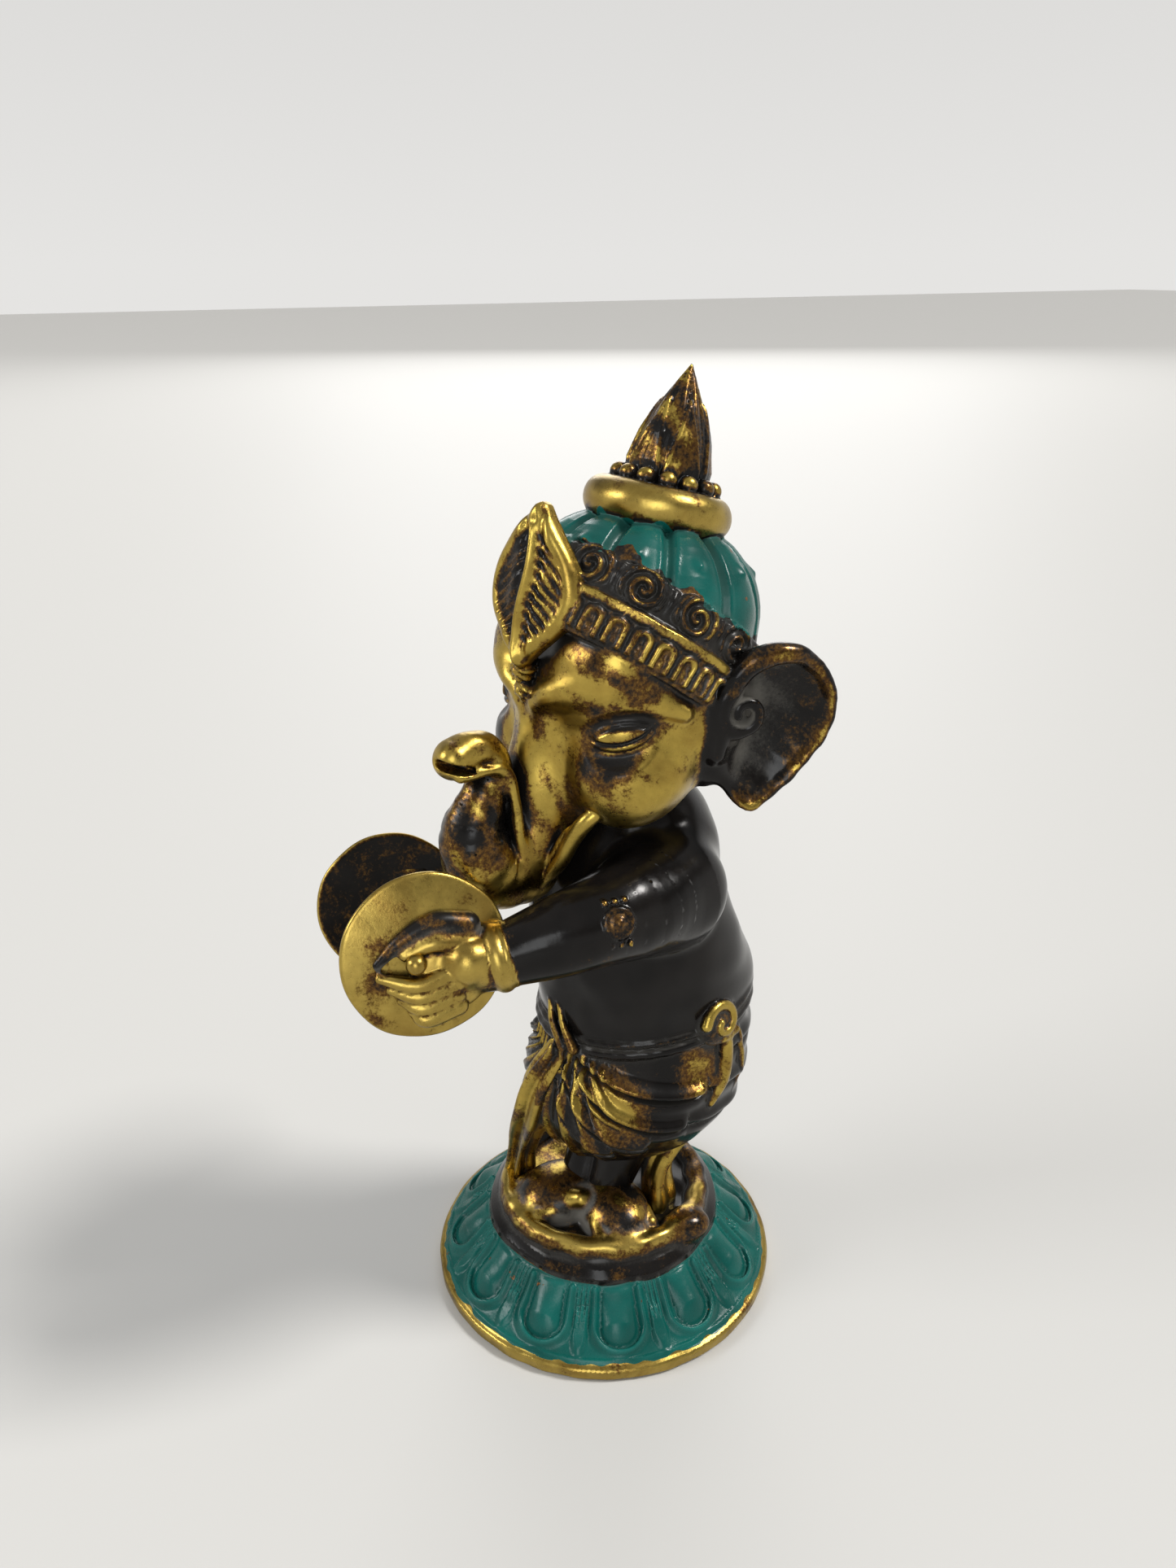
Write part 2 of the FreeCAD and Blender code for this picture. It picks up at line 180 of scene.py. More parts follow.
def flat(u, v, poly):
    """Signed distance in the plane to a closed outline."""
    d = np.full(len(u), 1e9, F)
    s = np.ones(len(u), F)
    n = len(poly)
    for i in range(n):
        ax, ay = poly[i]
        bx, by = poly[i - 1]
        ex, ey = bx - ax, by - ay
        wx, wy = u - F(ax), v - F(ay)
        t = np.clip((wx * F(ex) + wy * F(ey)) / F(ex * ex + ey * ey + 1e-9), 0, 1)
        dx, dy = wx - F(ex) * t, wy - F(ey) * t
        d = np.minimum(d, dx * dx + dy * dy)
        c1, c2, c3 = v >= ay, v < by, F(ex) * wy > F(ey) * wx
        s = np.where((c1 & c2 & c3) | (~c1 & ~c2 & ~c3), -s, s)
    return s * np.sqrt(d)


def turn(axis, deg):
    """3x3 whose columns are the turned axes: P @ turn() gives local coordinates."""
    return np.array(Matrix.Rotation(math.radians(deg), 3, axis), F)


def table(rows, n=160):
    """Dense smooth table of loft sections (z, centre y, half width, half depth)."""
    rows = np.array(rows, float)
    z = np.linspace(rows[0, 0], rows[-1, 0], n)
    out = [z]
    for c in range(1, rows.shape[1]):
        x, y = rows[:, 0], rows[:, c]
        m = np.gradient(y, x)
        k = np.clip(np.searchsorted(x, z) - 1, 0, len(x) - 2)
        h = x[k + 1] - x[k]
        t = (z - x[k]) / h
        out.append((2 * t**3 - 3 * t**2 + 1) * y[k] + (t**3 - 2 * t**2 + t) * h * m[k]
                   + (-2 * t**3 + 3 * t**2) * y[k + 1] + (t**3 - t**2) * h * m[k + 1])
    return np.array(out)


def loft(P, tab):
    z = P[:, 2]
    cy, rx, ry = (np.interp(z, tab[0], tab[i]).astype(F) for i in (1, 2, 3))
    q = np.sqrt((P[:, 0] / rx) ** 2 + ((P[:, 1] - cy) / ry) ** 2)
    d = (q - 1) * np.minimum(rx, ry) * F(0.96)
    ends = np.maximum(F(tab[0][0]) - z, z - F(tab[0][-1]))
    return smax(d, ends, 2.0)


def lumps(P, size, seed):
    """Slow hand-made unevenness, from -1 to 1."""
    rng = np.random.RandomState(seed)
    out = np.zeros(len(P), F)
    for _ in range(5):
        k = rng.normal(size=3)
        k = (k / np.linalg.norm(k) * 2 * math.pi / (size * rng.uniform(0.7, 1.5))).astype(F)
        out += np.sin(P @ k + F(rng.uniform(0, 6.28)))
    return out / F(3.2)


# ---------------------------------------------------------------- fields
class Part:
    """One term of a field: added, cut away, or a shaping of what is there."""

    def __init__(self, node, f, k=0.5, op="add", gold=0.5, paint=0.0, dust=0.0):
        self.node, self.f, self.k, self.op = node, f, k, op
        self.gold, self.paint, self.dust = gold, paint, dust


def value(a, P):
    return a(P).astype(F) if callable(a) else F(a)


class Field:
    def __init__(self, parts, lo, hi, h):
        self.parts, self.h = parts, h
        self.nodes = []
        for p in parts:
            if p.node and p.node not in self.nodes:
                self.nodes.append(p.node)
        self.lo = np.floor(np.array(lo) / h) * h
        self.B = 8
        self.n = np.ceil((np.array(hi) - self.lo) / (h * self.B)).astype(int)
        g = np.stack(np.meshgrid(*[np.arange(k) for k in self.n], indexing="ij"), -1).reshape(-1, 3)
        centre = (self.lo + (g + 0.5) * h * self.B).astype(F)
        reach = h * self.B * 0.87
        ds = []
        total = np.full(len(centre), BIG, F)
        for p in parts:
            d = p.f(centre)
            d = d[0] if isinstance(d, tuple) else d
            ds.append(d)
            if p.op == "add":
                total = np.minimum(total, d)
        self.rel = np.array([(d < np.abs(total) + 2 * reach + 3.0) | (d < reach + 5.0) for d in ds])
        keep = np.abs(total) < reach * 1.25 + 1.2
        self.blocks = g[keep]
        self.index = np.full(self.n, -1, int)
        self.index[tuple(self.blocks.T)] = np.arange(len(self.blocks))
        self.rel = self.rel[:, keep]

    def block_of(self, P):
        b = np.clip(((P - self.lo) / (self.h * self.B)).astype(int), 0, self.n - 1)
        return self.index[tuple(b.T)]

    def at(self, P, blk, looks=False):
        D = np.full(len(P), BIG, F)
        if looks:
            own = np.zeros(len(P), np.int16)
            look = np.zeros((3, len(P)), F)
        ok = blk >= 0
        for i, p in enumerate(self.parts):
            m = np.zeros(len(P), bool)
            m[ok] = self.rel[i][blk[ok]]
            if not m.any():
                continue
            Q = P[m]
            d = p.f(Q)
            old = D[m]
            if p.op == "add":
                new = smin(old, d, p.k) if p.k > 0 else np.minimum(old, d)
                w = np.clip(0.5 + (old - d) / max(p.k, 0.5), 0, 1)
                o = d < old
            elif p.op == "cut":
                new = smax(old, -d, p.k)
                w = np.clip(0.5 + (-d - old) / max(p.k, 0.5), 0, 1)
                o = None
            else:
                near, raise_by = d
                new = old - raise_by
                w = np.clip(near, 0, 1)
                o = None
            D[m] = new
            if looks:
                for j, a in enumerate((p.gold, p.paint, p.dust)):
                    if a is not None:
                        look[j, m] = look[j, m] * (1 - w) + value(a, Q) * w
                if o is not None and p.node:
                    idx = np.where(m)[0][o]
                    own[idx] = self.nodes.index(p.node)
        return (D, own, look) if looks else D

    def sample(self, P, looks=False):
        return self.at(P, self.block_of(P), looks)


def chunks(n, size=400000):
    for a in range(0, n, size):
        yield slice(a, min(n, a + size))


def mesh_field(fd):
    """Surface nets over the blocks near the surface, then each vertex is moved onto it."""
    B, h = fd.B, fd.h
    nb = len(fd.blocks)
    node = np.stack(np.meshgrid(*[np.arange(B + 1)] * 3, indexing="ij"), -1).reshape(-1, 3)
    vals = np.empty((nb, (B + 1) ** 3), F)
    per = max(1, 400000 // len(node))
    for a in range(0, nb, per):
        b = fd.blocks[a:a + per]
        P = ((b[:, None, :] * B + node[None]) * h + fd.lo).reshape(-1, 3).astype(F)
        blk = np.repeat(np.arange(a, a + len(b)), len(node))
        vals[a:a + per] = fd.at(P, blk).reshape(len(b), -1)
    V = vals.reshape(nb, B + 1, B + 1, B + 1)
    S = V < 0
    cnt = np.zeros((nb, B, B, B), np.int8)
    for dx in (0, 1):
        for dy in (0, 1):
            for dz in (0, 1):
                cnt += S[:, dx:dx + B, dy:dy + B, dz:dz + B]
    act = (cnt > 0) & (cnt < 8)
    ib, ix, iy, iz = np.where(act)
    NY, NZ = (fd.n[1] * B + 2), (fd.n[2] * B + 2)
    base = fd.blocks * B

    def key(g):
        return (g[:, 0].astype(np.int64) * NY + g[:, 1]) * NZ + g[:, 2]

    cell = base[ib] + np.stack([ix, iy, iz], 1)
    keys = key(cell)
    order = np.argsort(keys)
    keys_sorted = keys[order]
    acc = np.zeros((len(ib), 3), F)
    num = np.zeros(len(ib), F)
    corner = {}
    for dx in (0, 1):
        for dy in (0, 1):
            for dz in (0, 1):
                corner[dx, dy, dz] = V[ib, ix + dx, iy + dy, iz + dz]
    for a in corner:
        for ax in range(3):
            if a[ax] == 0:
                b = list(a)
                b[ax] = 1
                va, vb = corner[a], corner[tuple(b)]
                m = (va < 0) != (vb < 0)
                t = va[m] / (va[m] - vb[m])
                c = np.tile(np.array(a, F), (int(m.sum()), 1))
                c[:, ax] = t
                acc[m] += c
                num[m] += 1
    P = ((cell + acc / num[:, None]) * h + fd.lo).astype(F)
    quads = []
    for ax in range(3):
        o = [0, 0, 0]
        o[ax] = 1
        A = S[:, :B, :B, :B]
        C = S[:, o[0]:o[0] + B, o[1]:o[1] + B, o[2]:o[2] + B]
        jb, jx, jy, jz = np.where(A != C)
        inside = A[jb, jx, jy, jz]
        g = base[jb] + np.stack([jx, jy, jz], 1)
        u, w = (ax + 1) % 3, (ax + 2) % 3
        ring = []
        for du, dw in ((-1, -1), (0, -1), (0, 0), (-1, 0)):
            c = g.copy()
            c[:, u] += du
            c[:, w] += dw
            k = key(c)
            pos = np.clip(np.searchsorted(keys_sorted, k), 0, len(keys_sorted) - 1)
            ring.append(np.where(keys_sorted[pos] == k, order[pos], -1))
        q = np.stack(ring, 1)
        ok = (q >= 0).all(1)
        q, ins = q[ok], inside[ok]
        q[~ins] = q[~ins][:, ::-1]
        quads.append(q)
    quads = np.concatenate(quads)
    N = np.zeros_like(P)
    for it in range(3):
        for s in chunks(len(P)):
            p = P[s]
            e = F(0.08)
            d0 = fd.sample(p)
            g = np.stack([fd.sample(p + vec(*(e * np.eye(3, dtype=F)[i]))) - d0 for i in range(3)], 1) / e
            gl = np.maximum(norm(g), 0.25)
            if it < 2:
                move = -(d0 / gl)[:, None] * (g / gl[:, None])
                P[s] = p + np.clip(move, -0.6 * h, 0.6 * h)
            N[s] = g / np.maximum(norm(g), 1e-6)[:, None]
    return P, N, quads


def surface_looks(fd, P, N):
    """Owner, metal look, and how hollow or proud each vertex lies at two scales."""
    own = np.zeros(len(P), np.int16)
    look = np.zeros((3, len(P)), F)
    cav = np.zeros(len(P), F)
    wide = np.zeros(len(P), F)
    edge = np.zeros(len(P), F)
    for s in chunks(len(P)):
        p, n = P[s], N[s]
        _, own[s], look[:, s] = fd.sample(p, True)
        cav[s] = 1 - np.clip(fd.sample(p + n * F(0.8)) / 0.8, 0, 1)
        wide[s] = 1 - np.clip(fd.sample(p + n * F(3.0)) / 3.0, 0, 1)
        edge[s] = 1 - np.clip(-fd.sample(p - n * F(0.8)) / 0.8, 0, 1)
    return own, look, cav, wide, edge


PIECES = {}


def build(name, P, N, quads, attrs):
    used, inv = np.unique(quads, return_inverse=True)
    q = inv.reshape(quads.shape)
    me = bpy.data.meshes.new(name)
    me.vertices.add(len(used))
    me.vertices.foreach_set("co", (P[used] / 1000.0).astype(F).ravel())
    me.loops.add(q.size)
    me.loops.foreach_set("vertex_index", q.astype(np.int32).ravel())
    me.polygons.add(len(q))
    me.polygons.foreach_set("loop_start", np.arange(0, q.size, 4, dtype=np.int32))
    me.polygons.foreach_set("loop_total", np.full(len(q), 4, np.int32))
    me.update(calc_edges=True)
    me.validate()
    for k, a in attrs.items():
        at = me.attributes.new(k, "FLOAT", "POINT")
        at.data.foreach_set("value", np.clip(a[used], -1, 1.5).astype(F))
    me.shade_smooth()
    me.normals_split_custom_set_from_vertices(N[used].astype(F))
    ob = bpy.data.objects.new(name, me)
    bpy.context.scene.collection.objects.link(ob)
    PIECES[name] = ob
    return ob


def build_field(fd, label):
    P, N, quads = mesh_field(fd)
    own, look, cav, wide, edge = surface_looks(fd, P, N)
    face_own = np.sort(own[quads], 1)[:, 1]
    attrs = {"gold": look[0], "paint": look[1], "dust": look[2], "cav": cav, "wide": wide, "edge": edge}
    for i, node in enumerate(fd.nodes):
        m = face_own == i
        if m.sum() > 10:
            build(node + ".sculpt", P, N, quads[m], attrs)
    print("FIELD", label, "vertices", len(P), "faces", len(quads))


# ---------------------------------------------------------------- base
def slope(t):
    r = 35.0 + (24.6 - 35.0) * t
    z = 2.9 + (13.0 - 2.9) * (0.55 * t + 0.45 * t * t)
    return r, z


SLOPE = [slope(t / 12.0) for t in range(13)]
BASE_OUT = np.array([(0, 0), (35.5, 0), (35.95, 0.5), (35.95, 2.0), (35.6, 2.5), (35.0, 2.8)] + SLOPE[1:]
                    + [(24.0, 13.6), (0, 13.6)])


def radial(P):
    return np.sqrt(P[:, 0] ** 2 + P[:, 1] ** 2)


def base_body(P):
    return flat(radial(P), P[:, 2], BASE_OUT) - F(0.05)


PETAL_FIRST = 14.0


def petals(P):
    """Height map of the petals on the slope: wide ones, with a narrow tongue between each pair."""
    r, z = radial(P), P[:, 2]
    az = np.degrees(np.arctan2(P[:, 0], -P[:, 1]))
    a = (az - PETAL_FIRST + 15.0) % 30.0 - 15.0
    u = np.radians(a) * r
    v = np.clip((35.0 - r) / 10.4, -0.3, 1.3) * F(14.6)
    mid = F(7.0)
    # wide petal: a deep round cup, open at the top
    wv = np.maximum(mid - v, 0)
    top = np.clip((v - mid) / 6.0, 0, 1)
    cup = np.where(v > mid, np.abs(u) / (5.4 - 0.8 * top), np.sqrt((u / 5.4) ** 2 + (wv / 5.0) ** 2))
    inside = (1 - cup) * 5.0
    x = np.clip((inside - 1.5) / 3.4, 0, 1)
    body = (1 - (1 - x) ** 2) * 1.25 * (1.0 - 0.6 * top)
    rim = bump(inside - 0.25, 0.8) * 0.85
    inner = bump(inside - 1.4, 0.4) * -0.25
    # narrow tongue with three fine ridges above it
    b = (az - PETAL_FIRST) % 30.0 - 15.0
    w = np.radians(b) * r
    tv = np.maximum(5.6 - v, 0)
    tongue = 1 - np.sqrt((w / 1.65) ** 2 + (tv / 4.2) ** 2)
    tongue = np.where(v > 5.6, 1 - np.abs(w) / (1.65 - 0.6 * np.clip((v - 5.6) / 4, 0, 1)), tongue)
    tng = step(tongue * 1.6 - 0.15, 0.5) * 0.6 * step(9.5 - v, 2.0)
    ribs = (bump(w, 0.28) + bump(np.abs(w) - 0.95, 0.25)) * 0.42 * step(v - 7.6, 1.5)
    lip = bump(v - 0.9, 0.5) * 0.25
    band = step(v - 0.6, 0.4) * step(13.8 - v, 1.0)
    high = (np.maximum(body + rim + inner, tng) + ribs) * band + lip
    near = step(z - 2.75, 0.25) * step(r - 24.0, 0.6)
    return near, high * near * F(1.2) + lumps(P, 7.0, 5) * F(0.10)


MOUND_OUT = np.array([(0, 12.5), (23.4, 12.5), (24.3, 13.4), (24.2, 14.4), (22.9, 15.8), (21.6, 16.8), (20.4, 17.5),
                      (0, 17.8)])


def mound_d(P):
    r = radial(P) + lumps(P, 11.0, 9) * F(0.35)
    return flat(r, P[:, 2], MOUND_OUT) - F(0.25) - lumps(P, 4.5, 19) * F(0.22) * step(19.0 - r, 1.5)


def lip_d(P):
    az = np.arctan2(P[:, 0], -P[:, 1])
    r0 = 20.3 + 0.3 * np.sin(3 * az + 1.0)
    z0 = 18.2 + 0.3 * np.sin(2 * az)
    return np.sqrt((radial(P) - r0) ** 2 + (P[:, 2] - z0) ** 2) - F(1.95) - lumps(P, 5.0, 7) * F(0.2)


def base_gold(P):
    return 0.72 + 0.2 * lumps(P, 9.0, 3)


HEELS = (((1.5, -7.5), (0, -1)), ((7.4, -1.8), (1, 0)))


def foot_parts(k):
    (hx, hy), (dx, dy) = HEELS[k]
    name = "foot_left" if k else "foot_right"
    grow = 1.0 if k == 0 else 0.92
    fwd, side = np.array([dx, dy, 0.0]), np.array([dy, -dx, 0.0])
    heel = np.array([hx, hy, 18.0])
    R = np.array([side, fwd, (0, 0, 1)], F).T
    out = [Part(name, lambda P: ell(P, heel + fwd * 3.0 + (0, 0, 1.2), (7.7 * grow, 9.0, 5.6), R), 2.0,
                gold=lambda P: 0.5 - 0.2 * step(P[:, 2] - 21.5, 1.2) + 0.35 * lumps(P, 5.0, 44), dust=1.0)]
    ankle = ((0.6, -5.0, 18.2), (5.6, -1.4, 18.2))[k]
    out.append(Part(name, lambda P: ell(P, ankle, (5.6, 5.6, 5.0)), 1.5, gold=0.1, dust=0.6))
    for i in range(5):
        s = (i - 2) * 2.55
        a = heel + fwd * (8.0 - 0.45 * abs(i - 2) ** 1.5) + side * s * 1.08 + (0, 0, 2.3)
        b = a + fwd * 2.6 + (0, 0, -0.9)
        out.append(Part(name, lambda P, a=a, b=b: cap(P, a, b, 1.2, 1.45), 0.8, gold=0.75, dust=0.1))
    return out


BASE_PARTS = [
    Part("base_shell", base_body, 0, gold=base_gold),
    Part(None, lambda P: petals(P), op="shape", gold=None, paint=lambda P: step(P[:, 2] - 2.9 - 0.4 * lumps(P, 4.0, 66),
         0.35), dust=None),
    Part("mound", mound_d, 0.5, gold=lambda P: 0.0 + 0.2 * lumps(P, 8.0, 33) + (0.6 * step(18.5 - radial(P), 2.0) - 0.1)
         * step(2.0 - P[:, 1] + 0.4 * P[:, 0], 5.0) - 0.3 * step(P[:, 1] - 0.4 * P[:, 0] - 2.0, 5.0),
         paint=0.0, dust=lambda P: 0.25 * step(radial(P) - 19.5, 1.0)),
    Part("mound_lip", lip_d, 1.5, gold=lambda P: (0.95 - 0.5 * step(radial(P) - 21.6, 0.6)
         - 0.75 * step(-np.cos(np.arctan2(P[:, 0], -P[:, 1]) - 0.87) - 0.15, 0.3))),
    Part("mound", lambda P: ell(P, (18.6, 11.0, 17.6), (3.6, 5.0, 3.2)), 2.0, gold=0.2),
] + foot_parts(0) + foot_parts(1) + [
    Part("foot_left", lambda P: cap(P, (4.8, -12.8, 21.0), (8.4, -8.4, 22.8), 1.4, 1.7), 1.8, gold=0.85),
]


def lotus_owner(P, own, nodes):
    r, z = radial(P), P[:, 2]
    return (z > 2.75) & (r > 23.6) & (own == nodes.index("base_shell"))


# ---------------------------------------------------------------- body
TORSO = table([(56, 8.6, 15, 17), (60, 9.0, 18.0, 20.0), (64, 9.3, 19.2, 21.2), (69, 9.3, 19.9, 21.8),
               (75, 8.2, 20.0, 21.4), (83, 6.4, 19.4, 20.4), (90, 5.4, 18.2, 18.8), (97, 5.0, 16.0, 16.6),
               (102, 5.0, 13.0, 13.4), (106, 5.2, 10.2, 11.0), (112, 5.4, 8.6, 9.2)])
DHOTI = table([(32.0, 5.0, 8.0, 9.5), (33.2, 5.0, 12.5, 14.0), (35.5, 5.2, 15.6, 17.2), (40, 5.8, 18.9, 20.5),
               (48, 6.8, 20.6, 22.6), (55, 8.6, 20.4, 22.3), (60, 9.2, 19.6, 21.3), (64, 9.3, 19.4, 21.3)])


def around(P):
    """Direction round the body in degrees, 0 at the front and 90 on the figure's left."""
    return np.degrees(np.arctan2(P[:, 0], -(P[:, 1] - 6.0)))


def torso_d(P):
    d = smin(loft(P, TORSO), ell(P, (0.0, 9.0, 100.0), (14.5, 12.6, 12.5)), 5.0)
    return d - lumps(P, 16.0, 2) * F(0.4) - lumps(P, 7.0, 102) * F(0.10)


KNOT_AZ, KNOT_Z = 27.0, 62.0
FOLDS = (  # crease ends round the body: (direction, height) at start, middle and end, depth
    ((30, 61.5), (62, 55.5), (112, 52.6), 1.7), ((33, 58.0), (60, 49.2), (100, 45.6), 1.4),
    ((24, 58.0), (45, 46.4), (78, 41.6), 1.15), ((20, 56.0), (34, 44.5), (58, 38.8), 0.9),
    ((-24, 60.0), (-60, 54.0), (-110, 52.0), 0.9), ((-22, 56.0), (-55, 47.5), (-100, 45.0), 0.7),
    ((112, 52.6), (150, 49.0), (190, 47.0), 0.8), ((100, 45.6), (140, 42.5), (185, 41.0), 0.7),
    ((36, 54.5), (50, 49.5), (62, 46.4), 0.35), ((120, 58.5), (160, 57.0), (200, 55.0), 0.6),
    ((183, 47.3), (220, 48.6), (256, 52.2), 0.8), ((178, 41.1), (222, 41.8), (266, 45.3), 0.7),
    ((193, 55.3), (228, 55.8), (255, 58.0), 0.5),
)


def fold_map(P):
    """Overlapping wraps of the cloth: a step and a soft roll along each crease."""
    az, z = around(P), P[:, 2]
    out = np.zeros(len(P), F)
    for a, b, c, depth in FOLDS:
        for wrap in (0, -360, 360):
            x = az + wrap
            m = (x > min(a[0], c[0])) & (x < max(a[0], c[0]))
            if not m.any():
                continue
            t = (x - a[0]) / (c[0] - a[0])
            tb = (b[0] - a[0]) / (c[0] - a[0])
            q = (b[1] - a[1] - (c[1] - a[1]) * tb) / (tb * (tb - 1))
            line = a[1] + (c[1] - a[1]) * t + q * t * (t - 1)
            fade = step(np.minimum(t, 1 - t) - 0.03, 0.06)
            dz = z - line
            roll = bump(dz - 1.3, 1.5) * 1.15 - bump(dz + 0.35, 0.6) * 1.1 + bump(dz + 2.2, 1.5) * 0.25
            out += np.where(m, roll * fade * depth, 0).astype(F)
    # gathers that fan out from the knot in front
    gather = step(38.0 - np.abs(az - 14.0), 14.0) * step(60.5 - z, 2.0)
    fan = (az - KNOT_AZ) / np.maximum(1.0, (66.0 - z) / 9.0)
    out += gather * (np.sin(fan * 1.05 + 0.6) * 0.45 + np.sin(fan * 2.3) * 0.15).astype(F)
    return out


def dhoti_d(P):
    return loft(P, DHOTI) - fold_map(P) - lumps(P, 12.0, 12) * F(0.2)


def cloth_gold(P):
    az, z = around(P), P[:, 2]
    fan = (az - KNOT_AZ) / np.maximum(1.0, (66.0 - z) / 9.0)
    ridge = step(np.sin(fan * 1.05 + 0.6), 0.7) * step(34.0 - np.abs(az - 14.0), 12.0)
    patch = bump(az - 57.0 - (55.0 - z) * 0.7, 17.0) * bump(z - 52.0, 9.0)
    side = bump(az - 108.0, 16.0) * step(z - 51.5, 1.0)
    spot = np.clip(lumps(P, 9.0, 40) * 0.5, 0, 1)
    return np.clip(-0.28 + 0.8 * ridge + 1.05 * patch + 0.72 * side + 0.2 * spot, -0.3, 0.78)


def belt_d(P, rise=0.0, size=1.25):
    az = np.radians(around(P))
    z0 = 63.6 - 1.8 * np.cos(az) + rise
    cy, rx, ry = 9.2, 19.5, 21.3
    q = np.sqrt((P[:, 0] / rx) ** 2 + ((P[:, 1] - cy) / ry) ** 2)
    return np.sqrt(((q - 1) * rx) ** 2 + (P[:, 2] - z0) ** 2) - F(size) - 0.04 * np.sin(az * 34 + P[:, 2] * 1.4)


ARM = curve([(12.4, 7.6, 94.6), (19.6, -3.5, 96.0), (22.0, -16.0, 95.4), (20.5, -28.5, 92.6)], [11.2, 8.9, 7.0, 5.1], 4)
RIGHT_DROP = 9.5


def to_right(p, t=1.0):
    p = np.array(p, float)
    return np.array([-p[0], p[1] + 1.6 * t, p[2] - RIGHT_DROP * t])


ARM_R = (np.array([to_right(p, t) for p, t in zip(ARM[0], np.linspace(0, 1, len(ARM[0])) ** 0.8)]), ARM[1])


def arm_d(k):
    st = ARM if k else ARM_R
    return lambda P: tube(P, st) - lumps(P, 13.0, 21 + k) * F(0.2)


def arm_gold(P):
    hot = bump(norm((P - vec(26.5, -12.0, 91.0)) * vec(0.6, 1, 1)), 5.0) + bump(P[:, 1] + 27.0, 3.0) * 0.8
    return -0.32 + 0.42 * hot + 0.12 * np.clip(lumps(P, 7.0, 50), 0, 1)


CYM_C = np.array([18.0, -39.0, 94.5])
CYM_A = math.radians(15.0)
CYM_D = np.array([math.cos(CYM_A), 0, math.sin(CYM_A)])


def cymbal_frame(k):
    return (CYM_C, CYM_D) if k else (to_right(CYM_C), -CYM_D)


def outer(k, solid):
    """Keep the palm and the wrist on the outer side of the disc."""
    c, d = cymbal_frame(k)
    d = d.astype(F)

    def cut(P):
        q = (P - c).astype(F)
        h = q @ d
        rad = norm(q - h[:, None] * d)
        return smax(solid(P), np.minimum(1.4 - 1.75 * (rad / 14.2) ** 2 - h, 14.0 - rad), 0.5)
    return cut


def hand_parts(k):
    name = "hand_left" if k else "hand_right"
    c, d = cymbal_frame(k)
    up = np.cross(d, (0, 1, 0)) if d[0] < 0 else np.cross((0, 1, 0), d) * -1
    up = up * np.sign(up[2])
    f = np.array([0, 1.0, 0])
    R = np.array([f, up, d], F).T
    o = c + d * 1.6

    def at(y, z, n):
        return o + f * y + up * z + d * n

    wr = (ARM if k else ARM_R)[0][-1]
    gold = lambda P: 0.82 + 0.15 * lumps(P, 4.0, 61)
    out = [Part(name, outer(k, lambda P: ell(P, at(3.4, -2.8, 0.7), (7.0, 6.8, 2.4), R)), 0.9, gold=gold),
           Part(name, outer(k, lambda P: cap(P, at(6.4, -1.4, 1.6), wr + (0, -1.0, 0), 4.4, 4.7)), 1.5, gold=gold)]
    for i in range(4):  # fingers laid across the disc, one above the other
        a = at(3.2 + 0.2 * i, -2.6 - 2.0 * i, 2.4 - 0.25 * i)
        m = at(-2.6 + 0.3 * i, -3.6 - 2.05 * i, 2.2 - 0.2 * i)
        b = at(-8.4 + 1.5 * i, -1.6 - 2.2 * i, 0.9)
        st = curve([a, m, b], [1.7, 1.5, 0.8], 5)
        out.append(Part(name, lambda P, st=st: tube(P, st), 0.25, gold=gold))
    upper = curve([at(6.0, 1.8, 1.8), at(1.0, 2.8, 2.2), at(-4.0, 1.4, 1.6)], [2.0, 1.5, 0.8], 5)
    out.append(Part(name, lambda P: tube(P, upper), 0.35, gold=0.7))
    thumb = curve([at(7.0, 4.4, 0.6), at(1.6, 5.8, 1.0), at(-4.0, 4.0, 0.9), at(-8.4, 0.6, 0.3)], [2.4, 1.9, 1.4, 0.8], 5)
    out.append(Part(name, lambda P: tube(P, thumb), 1.6, gold=lambda P: 0.1 + 0.3 * lumps(P, 4.0, 62), dust=0.6))
    return out


def ring_d(c, ax, r, tube_r, flat_r=1.0):
    ax = np.array(ax, float)
    ax = (ax / np.linalg.norm(ax)).astype(F)
    c = np.array(c, F)

    def f(P):
        q = P - c
        h = q @ ax
        s = norm(q - h[:, None] * ax)
        return np.sqrt((s - r) ** 2 + (h * flat_r) ** 2) - F(tube_r)
    return f


def bracelet_parts(k):
    st = ARM if k else ARM_R
    name = "bracelet_left" if k else "bracelet_right"
    a, b = st[0][-2], st[0][-1]
    ax = (b - a) / np.linalg.norm(b - a)
    gold = lambda P: 0.85 + 0.2 * lumps(P, 3.0, 65)
    return [Part(name, ring_d(b - ax * 1.2, ax, 4.9, 1.25, 0.75), 0.35, gold=gold),
            Part(name, ring_d(b - ax * 2.9, ax, 5.2, 0.55), 0.3, gold=gold)]


